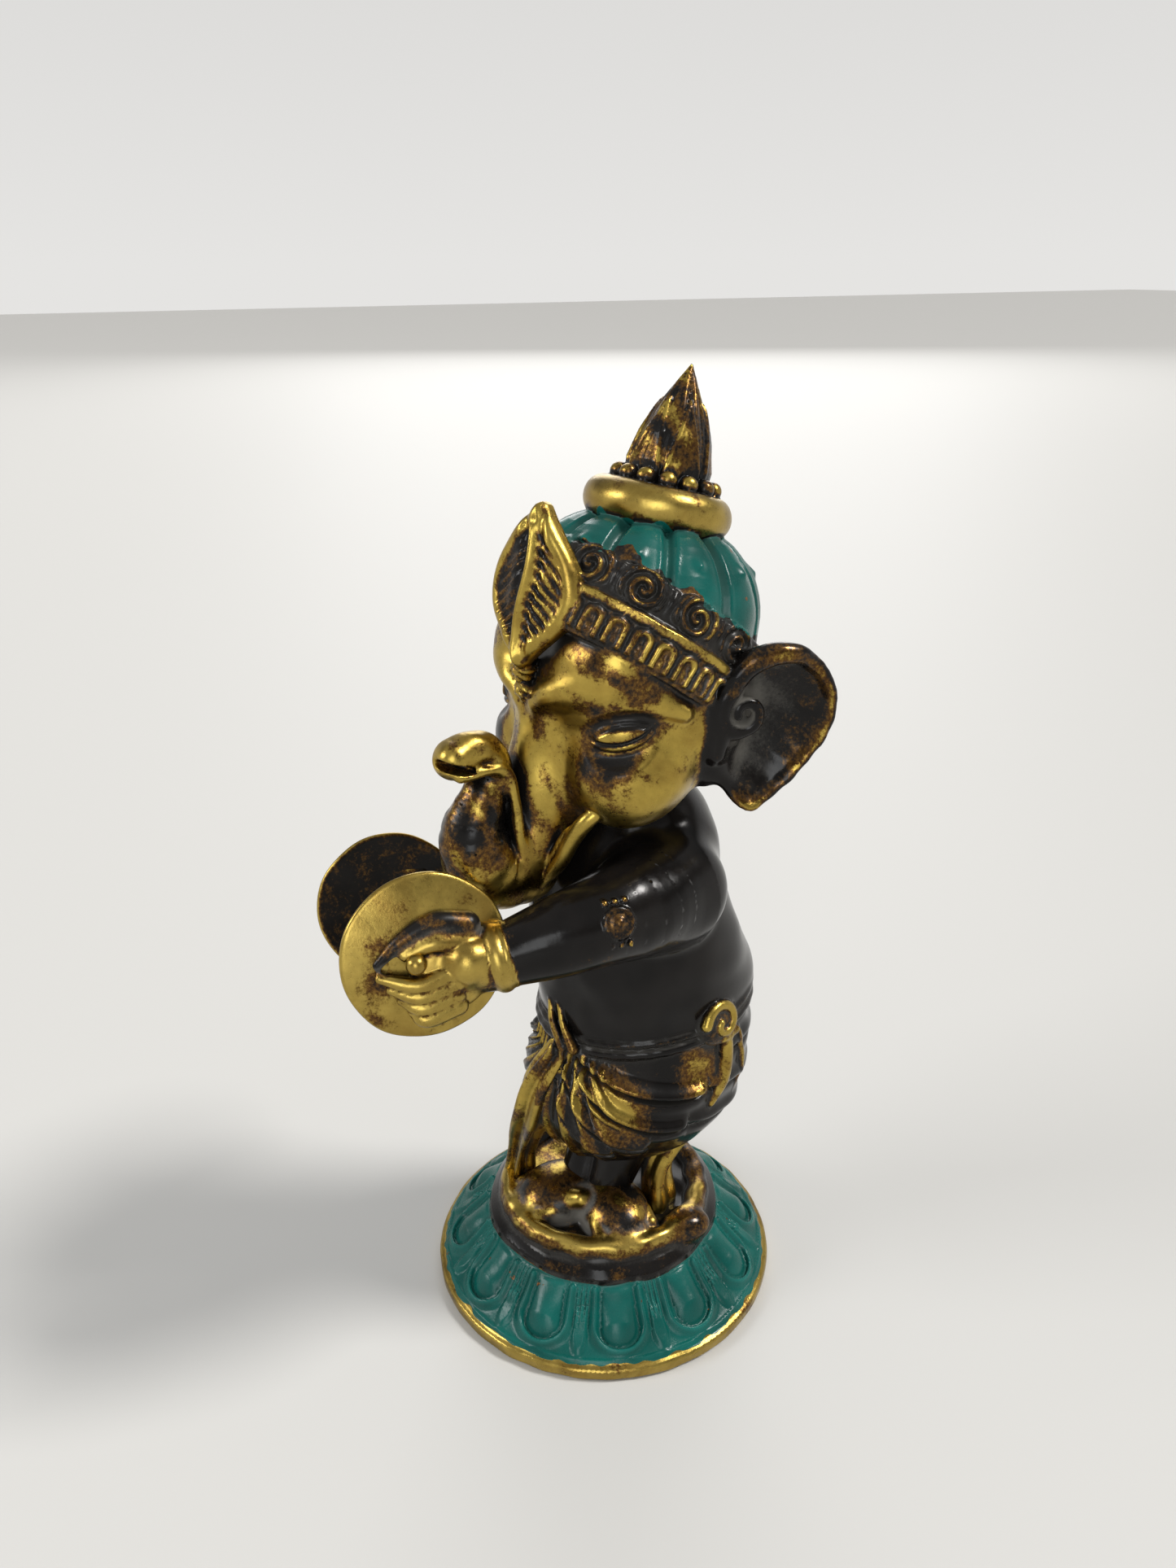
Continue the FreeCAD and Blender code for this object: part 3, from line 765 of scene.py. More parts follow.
def armlet_parts(k):
    name = "armlet_left" if k else "armlet_right"
    c = np.array([28.6, -8.4, 99.6])
    d = np.array([0.91, -0.05, 0.42])
    if not k:
        c, d = np.array([-c[0], c[1] + 0.5, c[2] - 3.0]), np.array([-d[0], d[1], d[2]])
    d /= np.linalg.norm(d)
    s = np.cross(d, (0, 1, 0))
    s /= np.linalg.norm(s)
    s *= np.sign(s[2])
    y = np.cross(s, d)
    out = [Part(name, lambda P: ell(P, c - d * 0.9, (2.7, 2.7, 1.5), np.array([y, s, d], F).T), 0.5, gold=0.3),
           Part(name, ring_d(c - d * 0.3, d, 2.3, 0.5), 0.4, gold=-0.02),
           Part(name, lambda P: ell(P, c + d * 0.0, (1.1, 1.1, 1.0), np.array([y, s, d], F).T), 0.2, gold=0.25)]
    for i in range(3):
        p = c + s * 3.4 + y * (i - 1) * 1.7 - d * (0.9 + 0.2 * abs(i - 1))
        out.append(Part(name, lambda P, p=p: cap(P, p, p + s * 0.1, 0.62, 0.6), 0.2, gold=0.3))
    for i in range(3):
        p = c - s * (3.3 + 0.2 * i) + y * (i - 1) * 1.6 - d * 0.9
        out.append(Part(name, lambda P, p=p: cap(P, p, p - s * 0.4, 0.5, 0.4), 0.2, gold=0.2))
    return out


PLEAT = curve([(7.6, -12.2, 60.5), (5.0, -15.4, 52.0), (2.6, -16.6, 43.0), (-2.0, -16.4, 35.0), (-6.5, -15.8, 27.0),
               (-8.5, -15.8, 18.8)], [2.0, 3.0, 3.2, 2.8, 2.4, 2.9])
TAIL = curve([(14.0, 22.0, 60.0), (13.4, 23.0, 52.0), (11.6, 19.4, 43.0), (9.6, 12.0, 33.0), (9.2, 8.8, 26.0),
              (10.2, 8.4, 18.8)], [1.4, 1.7, 1.8, 2.4, 2.7, 3.4])


def fluted(st, flutes, depth, seed):
    """Gathered cloth hanging in flutes along a curve."""
    pts, rad = st

    def f(P):
        d, t = tube(P, st, True)
        x = np.interp(t, np.linspace(0, 1, len(pts)), pts[:, 0])
        y = np.interp(t, np.linspace(0, 1, len(pts)), pts[:, 1])
        a = np.arctan2(P[:, 0] - x, -(P[:, 1] - y))
        return d - (np.sin(a * flutes + t * 3.0 + seed) * depth).astype(F)
    return f


LEGS = (curve([(0.6, -5.0, 21.0), (-2.0, -1.0, 29.0), (-3.0, 2.0, 38.0)], [4.6, 5.4, 6.2], 4),
        curve([(5.6, -1.4, 21.0), (5.0, 2.0, 29.0), (5.0, 5.0, 38.0)], [4.4, 5.2, 6.2], 4))
KNOT_C = np.array([18.9, 16.4, 67.0])
KNOT_D = np.array([0.91, 0.37, 0.18])


SASH_END = curve([(18.6, 18.2, 64.0), (18.5, 18.3, 58.0), (18.9, 17.4, 53.0), (19.6, 15.0, 48.4)], [1.2, 1.5, 1.4, 0.6], 4)


def knot_parts():
    c, d = KNOT_C, KNOT_D
    s = np.cross((0, 0, 1), d)
    s /= np.linalg.norm(s)
    u = np.cross(d, s)
    pts = [c + s * math.cos(a) * r + u * math.sin(a) * r + d * (0.9 + 0.2 * (3.0 - r))
           for a, r in ((2.9 - t * 0.5, 4.3 - 0.26 * t) for t in range(14))]
    st = (np.array(pts), np.linspace(1.15, 0.75, len(pts)))
    return [Part("sash_knot", lambda P: ell(P, c - d * 0.6, (4.9, 4.9, 1.9), np.array([s, u, d], F).T), 0.8, gold=0.25,
                 dust=0.3),
            Part("sash_knot", lambda P: tube(P, st), 0.3, gold=0.8),
            Part("sash_knot", lambda P: tube(P, SASH_END), 0.6, gold=0.62),
            Part("sash_knot", lambda P: cap(P, c - u * 3.4 + s * 0.6, c - u * 3.6 + s * 4.2, 1.3, 0.9), 0.5, gold=0.6)]


SASH = curve([(4.2, -12.4, 70.0), (6.0, -12.7, 66.5), (9.2, -11.9, 62.6)], [0.5, 0.8, 1.2], 4)
SASH_2 = curve([(6.6, -11.6, 70.4), (8.6, -11.5, 66.8), (11.2, -10.6, 62.8)], [0.4, 0.7, 1.1], 4)

BODY_PARTS = [
    Part("torso", torso_d, 0, gold=-0.35),
    # legs: black patina, set darker than the torso as painted shade where they stand under the dhoti hem
    Part("leg_right", lambda P: tube(P, LEGS[0]), 0.8, gold=-0.6),
    Part("leg_left", lambda P: tube(P, LEGS[1]), 0.8, gold=-0.6),
    Part("dhoti", dhoti_d, 0.6, gold=cloth_gold, dust=0.15),
    Part("waist_belt", lambda P: smin(belt_d(P, 0, 0.95), belt_d(P, 2.0, 0.6), 0.5), 0.9, gold=-0.2, dust=0.2),
    Part("front_pleat", fluted(PLEAT, 5, 0.8, 0.5), 0.8, gold=lambda P: 0.6 + 0.4 * lumps(P, 5.0, 70), dust=0.1),
    Part("front_pleat", lambda P: smin(tube(P, SASH), tube(P, SASH_2), 0.3), 0.6, gold=0.38),
    Part("back_tail", fluted(TAIL, 3, 0.75, 1.5), 0.8, gold=lambda P: 0.7 + 0.3 * lumps(P, 5.0, 71), dust=0.1),
    Part("arm_right", outer(0, arm_d(0)), 2.4, gold=arm_gold, dust=0.05),
    Part("arm_left", outer(1, arm_d(1)), 2.4, gold=arm_gold, dust=0.05),
] + knot_parts() + hand_parts(0) + hand_parts(1) + bracelet_parts(0) + bracelet_parts(1) \
  + armlet_parts(0) + armlet_parts(1)

# ---------------------------------------------------------------- head
HEAD_C = (mm("head")[0] + mm("head")[1]) * 0 + np.array([0, 5.0, 129.0])
TO_HEAD = turn("Z", 15.0)


def hd(P):
    return (P - HEAD_C.astype(F)) @ TO_HEAD


def tilted(q, deg):
    return (q - vec(0, 1.5, 13.0)) @ turn("X", -deg)


def band_frame(P):
    return tilted(hd(P), 36.0)


def crown_frame(P):
    return tilted(hd(P), 16.0)


def both(q):
    return np.stack([np.abs(q[:, 0]), q[:, 1], q[:, 2]], 1)


EYE_R = turn("Z", 50.0) @ turn("Y", -12.0)   # columns: outwards-back, into the head, up
EYE_C = vec(15.6, -13.4, -0.3)


def eye_local(q):
    return (q - EYE_C) @ EYE_R


BROW = curve([(2.6, -21.0, 3.6), (6.5, -20.4, 6.0), (11.5, -17.6, 7.3), (17.0, -12.0, 6.6), (20.8, -4.2, 2.8)],
             [1.5, 1.9, 1.8, 1.5, 1.1])


def head_d(P):
    q = hd(P)
    a = both(q)
    d = ell(q, (0, 0.8, 0), (21.0, 20.8, 20.6))
    d = smin(d, ell(a, (8.4, -9.6, 8.8), (10.6, 10.6, 10.4)), 5.0)
    d = smin(d, ell(a, (11.2, -8.6, -9.4), (10.4, 11.0, 9.6)), 4.0)
    d = smin(d, ell(q, (0, -11.0, -13.0), (9.0, 9.0, 8.5)), 4.0)
    d = smin(d, tube(a, BROW), 2.2)
    e = eye_local(a)
    hollow = ell(e, (-0.8, -3.3, -0.4), (7.6, 3.0, 4.3))
    d = smax(d, -hollow, 1.8)
    ball = ell(e, (0.2, 1.0, 0.0), (5.7, 3.3, 3.7))
    dz = e[:, 2] - (-0.9 + 0.045 * e[:, 0] ** 2)
    up = e[:, 2] - (1.9 - 0.06 * e[:, 0] ** 2)
    low = e[:, 2] - (-2.5 + 0.05 * e[:, 0] ** 2)
    groove = bump(dz, 0.34) * 0.6 + bump(up, 0.35) * 0.35 + bump(low, 0.3) * 0.3
    ball = ball + groove * step(5.6 - np.abs(e[:, 0]), 1.0) * step(-e[:, 1], 1.5)
    d = smin(d, ball, 0.5)
    bag = np.sqrt(e[:, 0] ** 2 * 0.55 + (e[:, 2] + 0.2) ** 2) - 5.3
    d = d - bump(bag, 0.8) * 0.16 * step(-e[:, 1], 2.0)
    return d - lumps(P, 10.0, 80) * F(0.22)


def head_gold(P):
    q = hd(P)
    e = eye_local(both(q))
    front = step(8.0 - q[:, 1], 3.0) * step(q[:, 2] + 20.0, 2.0)
    on = step(-e[:, 1], 1.5)
    lid = bump(e[:, 2] - 2.4, 1.5) * step(6.4 - np.abs(e[:, 0]), 1.2) * on
    stain = bump(np.sqrt(((e[:, 0] + 5.0) / 1.3) ** 2 + (e[:, 2] + 4.2) ** 2), 4.2) * on
    under = bump(e[:, 2] - 5.6, 1.4) * step(8.0 - np.abs(e[:, 0]), 1.5) * on
    near = bump(np.sqrt((e[:, 0] / 1.5) ** 2 + e[:, 2] ** 2), 4.6) * on
    crown = step(q[:, 2] - 9.5, 1.5)
    g = front * (0.80 - 0.75 * lid - 0.8 * stain - 0.3 * under - 0.5 * near - 0.28 * crown)
    lower = step(0.8 - np.abs(e[:, 2] + 2.1), 0.5) * step(4.6 - np.abs(e[:, 0] - 0.3), 1.0) * on
    upper = step(0.8 - np.abs(e[:, 2] - 0.5), 0.5) * step(4.4 - np.abs(e[:, 0] - 0.3), 1.0) * on
    g = np.maximum(g, np.maximum(0.8 * lower, 0.62 * upper))
    return np.clip(g + 0.30 * lumps(P, 6.0, 90) * front + 0.12 * lumps(P, 2.6, 190) * front, -0.2, 0.9)


FACE_TRUNK = curve([(0, -16.4, 7.0), (0, -17.0, 0.0), (0, -18.9, -10.5), (0, -20.2, -19.5), (0, -24.6, -26.6)],
                   [3.0, 4.9, 6.5, 7.2, 6.9])
CURL = curve([(0, -23.6, -27.6), (0, -30.4, -26.2), (0, -33.4, -19.5), (0, -31.4, -13.0), (0, -28.9, -8.6),
              (0, -29.6, -4.6), (0.2, -32.8, -3.0), (0.4, -36.4, -3.8)], [6.8, 6.9, 5.9, 4.3, 3.4, 3.1, 3.2, 3.5])
CURL_EDGE = curve([(2.9, -36.8, -6.2), (3.0, -32.0, -6.2), (3.2, -28.0, -7.6), (3.8, -27.0, -13.0), (4.6, -26.8, -19.0),
                   (5.0, -25.4, -24.5), (4.8, -21.6, -28.4)], [0.9, 0.9, 1.0, 1.1, 1.1, 1.2, 1.0])
LIP = curve([(14.6, -15.6, -13.2), (12.8, -18.4, -15.4), (10.9, -20.2, -19.2), (8.9, -21.8, -24.2), (5.0, -23.6, -29.4)],
            [0.8, 1.5, 1.5, 1.4, 1.0])


def trunk_d(P):
    q = hd(P)
    a = both(q)
    d, t = tube(q, FACE_TRUNK, True)
    c, s = tube(q, CURL, True)
    c = c - (np.sin(s * 95.0) * 0.07 * step(0.6 - s, 0.2)).astype(F)
    d = smin(d, c, 0.7)
    d = smin(d, tube(a, CURL_EDGE), 1.1)
    slot = ell(q - vec(2.6, -38.0, -4.2), (0, 0, 0), (3.0, 4.4, 1.0), turn("X", -20))
    d = smax(d, -slot, 0.5)
    pocket = ell(a, (10.0, -18.2, -17.4), (2.0, 2.4, 3.2))
    d = smax(d, -pocket, 0.8)
    return d - lumps(P, 5.0, 82) * F(0.14)


LIP_IN = curve([(11.8, -17.8, -15.6), (9.4, -20.4, -18.8), (7.6, -22.0, -23.0), (5.4, -24.0, -27.6)],
               [0.6, 0.8, 0.8, 0.6])


def lip_line(P):
    a = both(hd(P))
    return smin(tube(a, LIP), tube(a, LIP_IN), 0.25)


def trunk_gold(P):
    q = hd(P)
    front = bump(q[:, 2] + 16.0, 7.0) * step(-29.0 - q[:, 1], 2.0)
    return np.clip(0.72 - 0.6 * front + 0.28 * lumps(P, 5.0, 91), 0, 1)


EAR = outline([(-7.5, 12.2), (-1.0, 14.6), (5.6, 12.6), (9.6, 6.8), (9.8, -0.4), (7.0, -7.0), (3.0, -12.2),
               (-0.8, -15.0), (-5.0, -12.8), (-9.2, -6.0), (-10.4, 1.0), (-9.8, 7.5)], 4)
EAR_C = vec(24.6, 12.2, -2.4)
EAR_TURN = turn("Z", -24.0) @ turn("X", -10.0)


def ear_local(q):
    return (q - EAR_C) @ EAR_TURN


FRONT_RIM = curve([(1.0, -9.6, -5.0), (0.6, -10.2, 1.5), (1.0, -9.2, 7.8), (1.6, -5.6, 12.4), (1.4, 0.8, 13.8),
                   (1.0, 5.0, 11.9)], [1.3, 1.8, 2.1, 2.1, 1.7, 0.9], 4)
COIL = [(t * 0.62 + 2.2, 4.3 - 0.26 * t) for t in range(13)]
COIL = (np.array([(1.4 + 0.1 * i, -6.6 + r * math.cos(a), 2.8 + r * math.sin(a)) for i, (a, r) in enumerate(COIL)]),
        np.linspace(1.5, 0.8, len(COIL)))


def ear_d(side):
    def f(P):
        q = hd(P)
        q = q * vec(side, 1, 1)
        e = ear_local(q)
        n, s, w = e[:, 0], e[:, 1], e[:, 2]
        far = norm(e) - 20.0
        b = -4.4 + 6.4 * np.clip(((s + 2.0) / 13.5) ** 2 + (w / 17.0) ** 2, 0, 1.4)
        o = flat(s, w, EAR)
        wob = lumps(P, 6.0, 84) * F(0.2)
        shell = smax(np.abs(n - b) * 0.86 - 1.0, o + 0.5, 0.8)
        d = smin(shell, np.sqrt((o + 1.0) ** 2 + ((n - b) * 0.86) ** 2) - 1.25, 0.6)
        d = smin(d, tube(e, FRONT_RIM), 0.8)
        d = smin(d, tube(e, COIL), 0.7)
        root = ell(e, (-2.6, -9.0, 0.0), (4.2, 4.4, 12.5))
        d = smin(d, root, 2.4)
        d = d + (np.sin(w * 1.3 + s * 0.7) * 0.06).astype(F) - wob * 0.5
        return np.maximum(d, far * 0.8)
    return f


def ear_gold(P):
    q = hd(P)
    e = ear_local(both(q))
    o = flat(e[:, 1], e[:, 2], EAR)
    low = step(-e[:, 1] - 5.0, 1.5) * step(4.0 - e[:, 2], 3.0)
    return np.clip(0.02 + 0.36 * bump(o + 0.6, 1.3) * step(lumps(P, 7.0, 93) + 0.1, 0.5)
                   + 0.45 * bump(e[:, 2] + 15.0, 2.5) - 0.5 * low, -0.5, 1)


def ear_dust(P):
    q = hd(P)
    e = ear_local(both(q))
    o = flat(e[:, 1], e[:, 2], EAR)
    return 0.85 * step(-o - 1.6, 1.0) * step(e[:, 0] + 5.0, 1.0)


BAND_OUT = np.array([(14, -8.8), (21.2, -8.8), (22.0, -8.0), (22.3, -3.2), (22.9, -2.6), (23.0, -1.7), (22.2, -1.1),
                     (21.8, 4.4), (20.8, 5.4), (14, 5.4)])


def band_map(b):
    """Arches below the ridge and scrollwork above it."""
    r = np.sqrt(b[:, 0] ** 2 + b[:, 1] ** 2)
    az = np.arctan2(b[:, 0], -b[:, 1])
    h = b[:, 2]
    period = 2 * math.pi / 32
    u = ((az + period / 2) % period - period / 2) * 22.3
    v = h + 8.4
    top = F(3.3)
    arch = np.where(v > top, np.abs(np.sqrt(u * u + (v - top) ** 2) - 1.3), np.abs(np.abs(u) - 1.3))
    zone = step(v - 0.2, 0.25) * step(5.4 - v, 0.4)
    out = bump(arch, 0.68) * 0.95 * zone + bump(np.sqrt(u * u + ((v - 1.3) * 0.6) ** 2), 0.5) * 0.55 * zone
    out -= 0.25 * zone
    p2 = 2 * math.pi / 14
    k = np.floor((az + 0.30) / p2)
    u2 = ((az + 0.30) - (k + 0.5) * p2) * 22.0
    flip = np.where(k % 2 == 0, 1.0, -1.0)
    x, y = u2 * flip, h - 2.2
    rr = np.sqrt(x * x + y * y)
    ph = np.arctan2(y, x)
    s = (rr / 1.9 - ph / (2 * math.pi)) % 1.0
    spiral = bump((s - 0.5) * 1.9, 0.58) * step(3.5 - rr, 0.3)
    edge = bump(rr - 3.7, 0.5) * step(y + 2.2, 0.6)
    drop = bump(np.abs(u2) - p2 * 11.0, 0.7) * bump(y - 0.5, 1.7)
    zone2 = step(h + 0.9, 0.3) * step(5.6 - h, 0.5)
    out += (np.maximum(spiral, edge * 0.7) * 1.05 + drop * 0.8 - 0.25) * zone2
    return out * step(r - 19.5, 1.0)


def band_d(P):
    b = band_frame(P)
    r = np.sqrt(b[:, 0] ** 2 + b[:, 1] ** 2)
    d = flat(r, b[:, 2], BAND_OUT) - F(0.15)
    near = np.abs(d) < 2.5
    out = d.copy()
    if near.any():
        out[near] -= band_map(b[near]).astype(F)
    return out * F(0.8) - lumps(P, 5.0, 85) * F(0.08)


def band_gold(P):
    b = band_frame(P)
    arches = step(-1.0 - b[:, 2], 0.5)
    return np.clip(0.06 + 0.40 * arches + 0.3 * bump(b[:, 2] + 2.1, 0.6) + 0.2 * lumps(P, 6.0, 94), -0.1, 1)


LOBES = 11
DOME_OUT = np.array([(0, -6), (20.6, -6), (21.2, 0)] + [(20.9 * math.cos(a) ** 0.8, 2.4 + 15.9 * math.sin(a)) for a in
                    np.radians(np.linspace(4, 86, 14))] + [(0, 18.4)])


def dome_d(P):
    c = crown_frame(P)
    az = np.arctan2(c[:, 0], -c[:, 1])
    h = c[:, 2]
    r = np.sqrt(c[:, 0] ** 2 + c[:, 1] ** 2)
    d = flat(r, h, DOME_OUT)
    p = 2 * math.pi / LOBES
    u = ((az - math.radians(43.9) + p / 2) % p - p / 2)
    g = (p / 2 - np.abs(u)) * np.maximum(r, 3.0)
    lobe = (1 - bump(g, 0.95)) * 0.9 + np.cos(u / p * math.pi) * 0.9
    rib = bump(g - 1.3, 0.5) * 0.22
    dot = bump(np.sqrt((u * r) ** 2 + (h - 12.6) ** 2), 0.9) * 0.5
    d = d - ((lobe + rib + dot) * step(r - 6.0, 3.0)).astype(F) + F(0.9)
    b = band_frame(P)
    floor = F(4.4) - b[:, 2] + (np.cos(u * LOBES) * 0.8).astype(F)
    return smax(d, floor, 0.6) - lumps(P, 6.0, 86) * F(0.12)


def ring_shape(P):
    c = crown_frame(P) + vec(0, 0.5, 0)
    r = np.sqrt(c[:, 0] ** 2 + c[:, 1] ** 2)
    return np.sqrt((r - 9.7) ** 2 + ((c[:, 2] - 19.7) * 0.9) ** 2) - F(3.3) - lumps(P, 8.0, 87) * F(0.1)


def collar_d(P):
    c = crown_frame(P)
    r = np.sqrt(c[:, 0] ** 2 + c[:, 1] ** 2)
    az = np.arctan2(c[:, 0], -c[:, 1])
    d = np.maximum(r - 8.6, np.abs(c[:, 2] - 22.2) - 1.3)
    p = 2 * math.pi / 14
    u = ((az + p / 2) % p - p / 2) * 8.4
    bead = np.sqrt(u * u + (r - 8.3) ** 2 + (c[:, 2] - 24.2) ** 2) - F(1.6)
    flange = np.sqrt((np.maximum(np.abs(r - 8.4) - 0.5, 0)) ** 2 + (c[:, 2] - 22.6) ** 2) - F(0.7)
    return smin(np.minimum(d, flange), bead, 0.35)


FIN_H0, FIN_H1 = 24.6, 44.8


def finial_d(P):
    c = crown_frame(P)
    r = np.sqrt(c[:, 0] ** 2 + c[:, 1] ** 2)
    az = np.arctan2(c[:, 0], -c[:, 1]) + 0.35
    h = c[:, 2]
    t = np.clip((h - FIN_H0) / (FIN_H1 - FIN_H0), 0, 1)
    prof = np.interp(t, [0, 0.12, 0.35, 0.6, 0.82, 1.0], [7.2, 7.4, 6.2, 4.2, 2.1, 0.3]).astype(F)
    out = np.zeros(len(P), F)
    for n, off, t1, lift in ((6, 0.0, 1.05, 0.0), (6, math.pi / 6, 0.66, 0.75)):
        p = 2 * math.pi / n
        u = ((az + off + p / 2) % p - p / 2) * np.maximum(r, 0.4)
        tt = np.clip(t / t1, 0, 1)
        half = np.sqrt(1 - tt * tt) * (1 - 0.35 * tt) * p * prof * 0.47
        ins = half - np.abs(u)
        leaf = step(ins, 0.35) * (0.45 + lift * 0.6) + bump(ins - 0.5, 0.4) * 0.16 - bump(u, 0.3) * 0.12 * step(ins - 0.8, 0.5)
        out = np.maximum(out, leaf)
    d = (r - prof - out * np.clip(prof / 5.0, 0.1, 0.9) + 0.75) * 0.86
    return smax(d.astype(F), np.maximum(F(FIN_H0 - 1.0) - h, h - F(FIN_H1 + 0.6)), 0.6)


LEAF_OUT = outline([(0, 15.2), (2.6, 12.8), (5.6, 9.2), (8.3, 5.2), (9.5, 1.0), (8.6, -2.8), (6.0, -6.0), (3.4, -8.7),
                    (1.5, -10.6), (0, -12.0), (-1.5, -10.6), (-3.4, -8.7), (-6.0, -6.0), (-8.6, -2.8), (-9.5, 1.0),
                    (-8.3, 5.2), (-5.6, 9.2), (-2.6, 12.8)], 3)


def leaf_local(P):
    return (hd(P) - vec(1.0, -21.7, 21.4)) @ (turn("Z", 12.0) @ turn("X", -13.0))


def leaf_d(P):
    e = leaf_local(P)
    u, n, v = e[:, 0], -e[:, 1], e[:, 2]
    o = flat(u, v, LEAF_OUT)
    s = u - 0.7 * np.sin(v / 3.6)
    belly = 1.2 - 0.034 * u * u - 0.008 * (v - 1.0) ** 2
    rim = bump(o + 1.3, 1.2) * 0.6
    rib = bump(s, 0.75) * 0.75 * step(11.5 - np.abs(v), 1.0)
    gutter = -bump(np.abs(s) - 1.7, 0.8) * 0.6
    hatch = np.sin((v + 0.8 * np.abs(u)) * 2 * math.pi / 1.9 + 0.5 * np.sin(v)) * 0.17 \
        * step(np.abs(s) - 1.2, 0.5) * step(6.4 - np.abs(s), 1.0) * step(-o - 1.6, 0.5)
    hatch = hatch * (0.4 + 0.9 * step(lumps(P, 6.0, 140), 0.5))
    cup = -bump(np.abs(u) - 4.6, 2.4) * 0.5 * step(7.5 - np.abs(v - 0.5), 3.0)
    top = belly + (rim + rib + gutter + hatch + cup) * step(-o, 0.3)
    slab = np.maximum(n - top, -(n - (belly - 2.9)))
    return smax(slab.astype(F) * F(0.85), o, 0.9)


def leaf_gold(P):
    e = leaf_local(P)
    o = flat(e[:, 0], e[:, 2], LEAF_OUT)
    v = e[:, 2]
    dark = step(-o - 2.3, 0.6) * step(np.abs(e[:, 0] - 0.7 * np.sin(v / 3.6)) - 1.0, 0.5)
    crest = step(np.sin((v + 0.8 * np.abs(e[:, 0])) * 2 * math.pi / 1.9 + 0.5 * np.sin(v)) - 0.1, 0.5) * step(e[:, 0], 1.0)
    return np.clip(0.86 + 0.2 * lumps(P, 5.0, 97) - dark * (0.75 - 0.5 * crest), 0, 1)


BRAID = [curve([(0, -21.0, 10.6), (0, -21.9, 9.0), (0, -21.9, 7.2)], [1.2, 2.2, 1.3], 3),
         curve([(0, -21.8, 7.0), (0, -21.7, 5.2), (0, -21.2, 3.4)], [1.2, 1.9, 1.0], 3)]


def braid_d(P):
    q = hd(P)
    d = smin(tube(q, BRAID[0]), tube(q, BRAID[1]), 0.4)
    return d - (np.cos((q[:, 2] * 0.9 + np.abs(q[:, 0]) * 0.8) * 4.0) * 0.16).astype(F)


def crown_paint(P):
    """The paint ends in a ragged line that runs across the top of the scrolls."""
    b = band_frame(P)
    return step(b[:, 2] - 4.9 + 1.9 * lumps(P, 8.0, 55) + 0.5 * lumps(P, 2.5, 56), 0.35)


HEAD_PARTS = [
    Part("head", head_d, 0, gold=head_gold, dust=0.05),
    Part("ear_left", ear_d(1), 2.0, gold=ear_gold, dust=ear_dust),
    Part("ear_right", ear_d(-1), 2.0, gold=ear_gold, dust=ear_dust),
    Part("trunk", trunk_d, 4.0, gold=trunk_gold),
    Part("trunk", lip_line, 0.5, gold=0.95),
    Part("headband", band_d, 0.5, gold=band_gold, paint=crown_paint, dust=0.12),
    Part("crown_dome", dome_d, 0.3, gold=0.15, paint=crown_paint, dust=0.1),
    Part("crown_ring", ring_shape, 0.35, gold=lambda P: 0.82 + 0.35 * lumps(P, 5.0, 95),
         paint=lambda P: step(16.9 - crown_frame(P)[:, 2] + 1.3 * lumps(P, 7.0, 57), 0.35)),
    Part("bead_collar", collar_d, 0.3, gold=lambda P: 0.6 + 0.3 * lumps(P, 5.0, 96)),
    Part("finial", finial_d, 0.4, gold=lambda P: 0.38 + 0.4 * lumps(P, 5.0, 98)),
    Part("brow_braid", braid_d, 0.5, gold=0.8),
    Part("leaf_ornament", leaf_d, 0.4, gold=leaf_gold),
]

K = 1.0 if FINE else 1.9
build_field(Field(BASE_PARTS, (-37, -37, -0.5), (37, 37, 26), 0.42 * K), "base")
build_field(Field(BODY_PARTS, (-36, -52, 17.5), (37, 38, 114), 0.46 * K), "body")
build_field(Field(HEAD_PARTS, (-38, -40, 92), (44, 42, 187), 0.40 * K), "head")


# the lotus slope is its own piece: the upper faces of the base carry the paint
def split_lotus():
    ob = PIECES.pop("base_shell.sculpt")
    me = ob.data
    n = len(me.vertices)
    co = np.empty(n * 3, F)
    me.vertices.foreach_get("co", co)
    co = co.reshape(-1, 3) * 1000
    nr = np.empty(n * 3, F)
    me.vertex_normals.foreach_get("vector", nr)
    q = np.empty(len(me.loops), np.int32)
    me.loops.foreach_get("vertex_index", q)
    q = q.reshape(-1, 4)
    attrs = {}
    for a in ("gold", "paint", "dust", "cav", "wide", "edge"):
        v = np.empty(n, F)
        me.attributes[a].data.foreach_get("value", v)
        attrs[a] = v
    up = attrs["paint"] > 0.5
    m = up[q].sum(1) >= 3
    bpy.data.objects.remove(ob)
    nr = nr.reshape(-1, 3)
    build("base_shell.sculpt", co, nr, q[~m], attrs)
    build("lotus_band.sculpt", co, nr, q[m], attrs)


split_lotus()


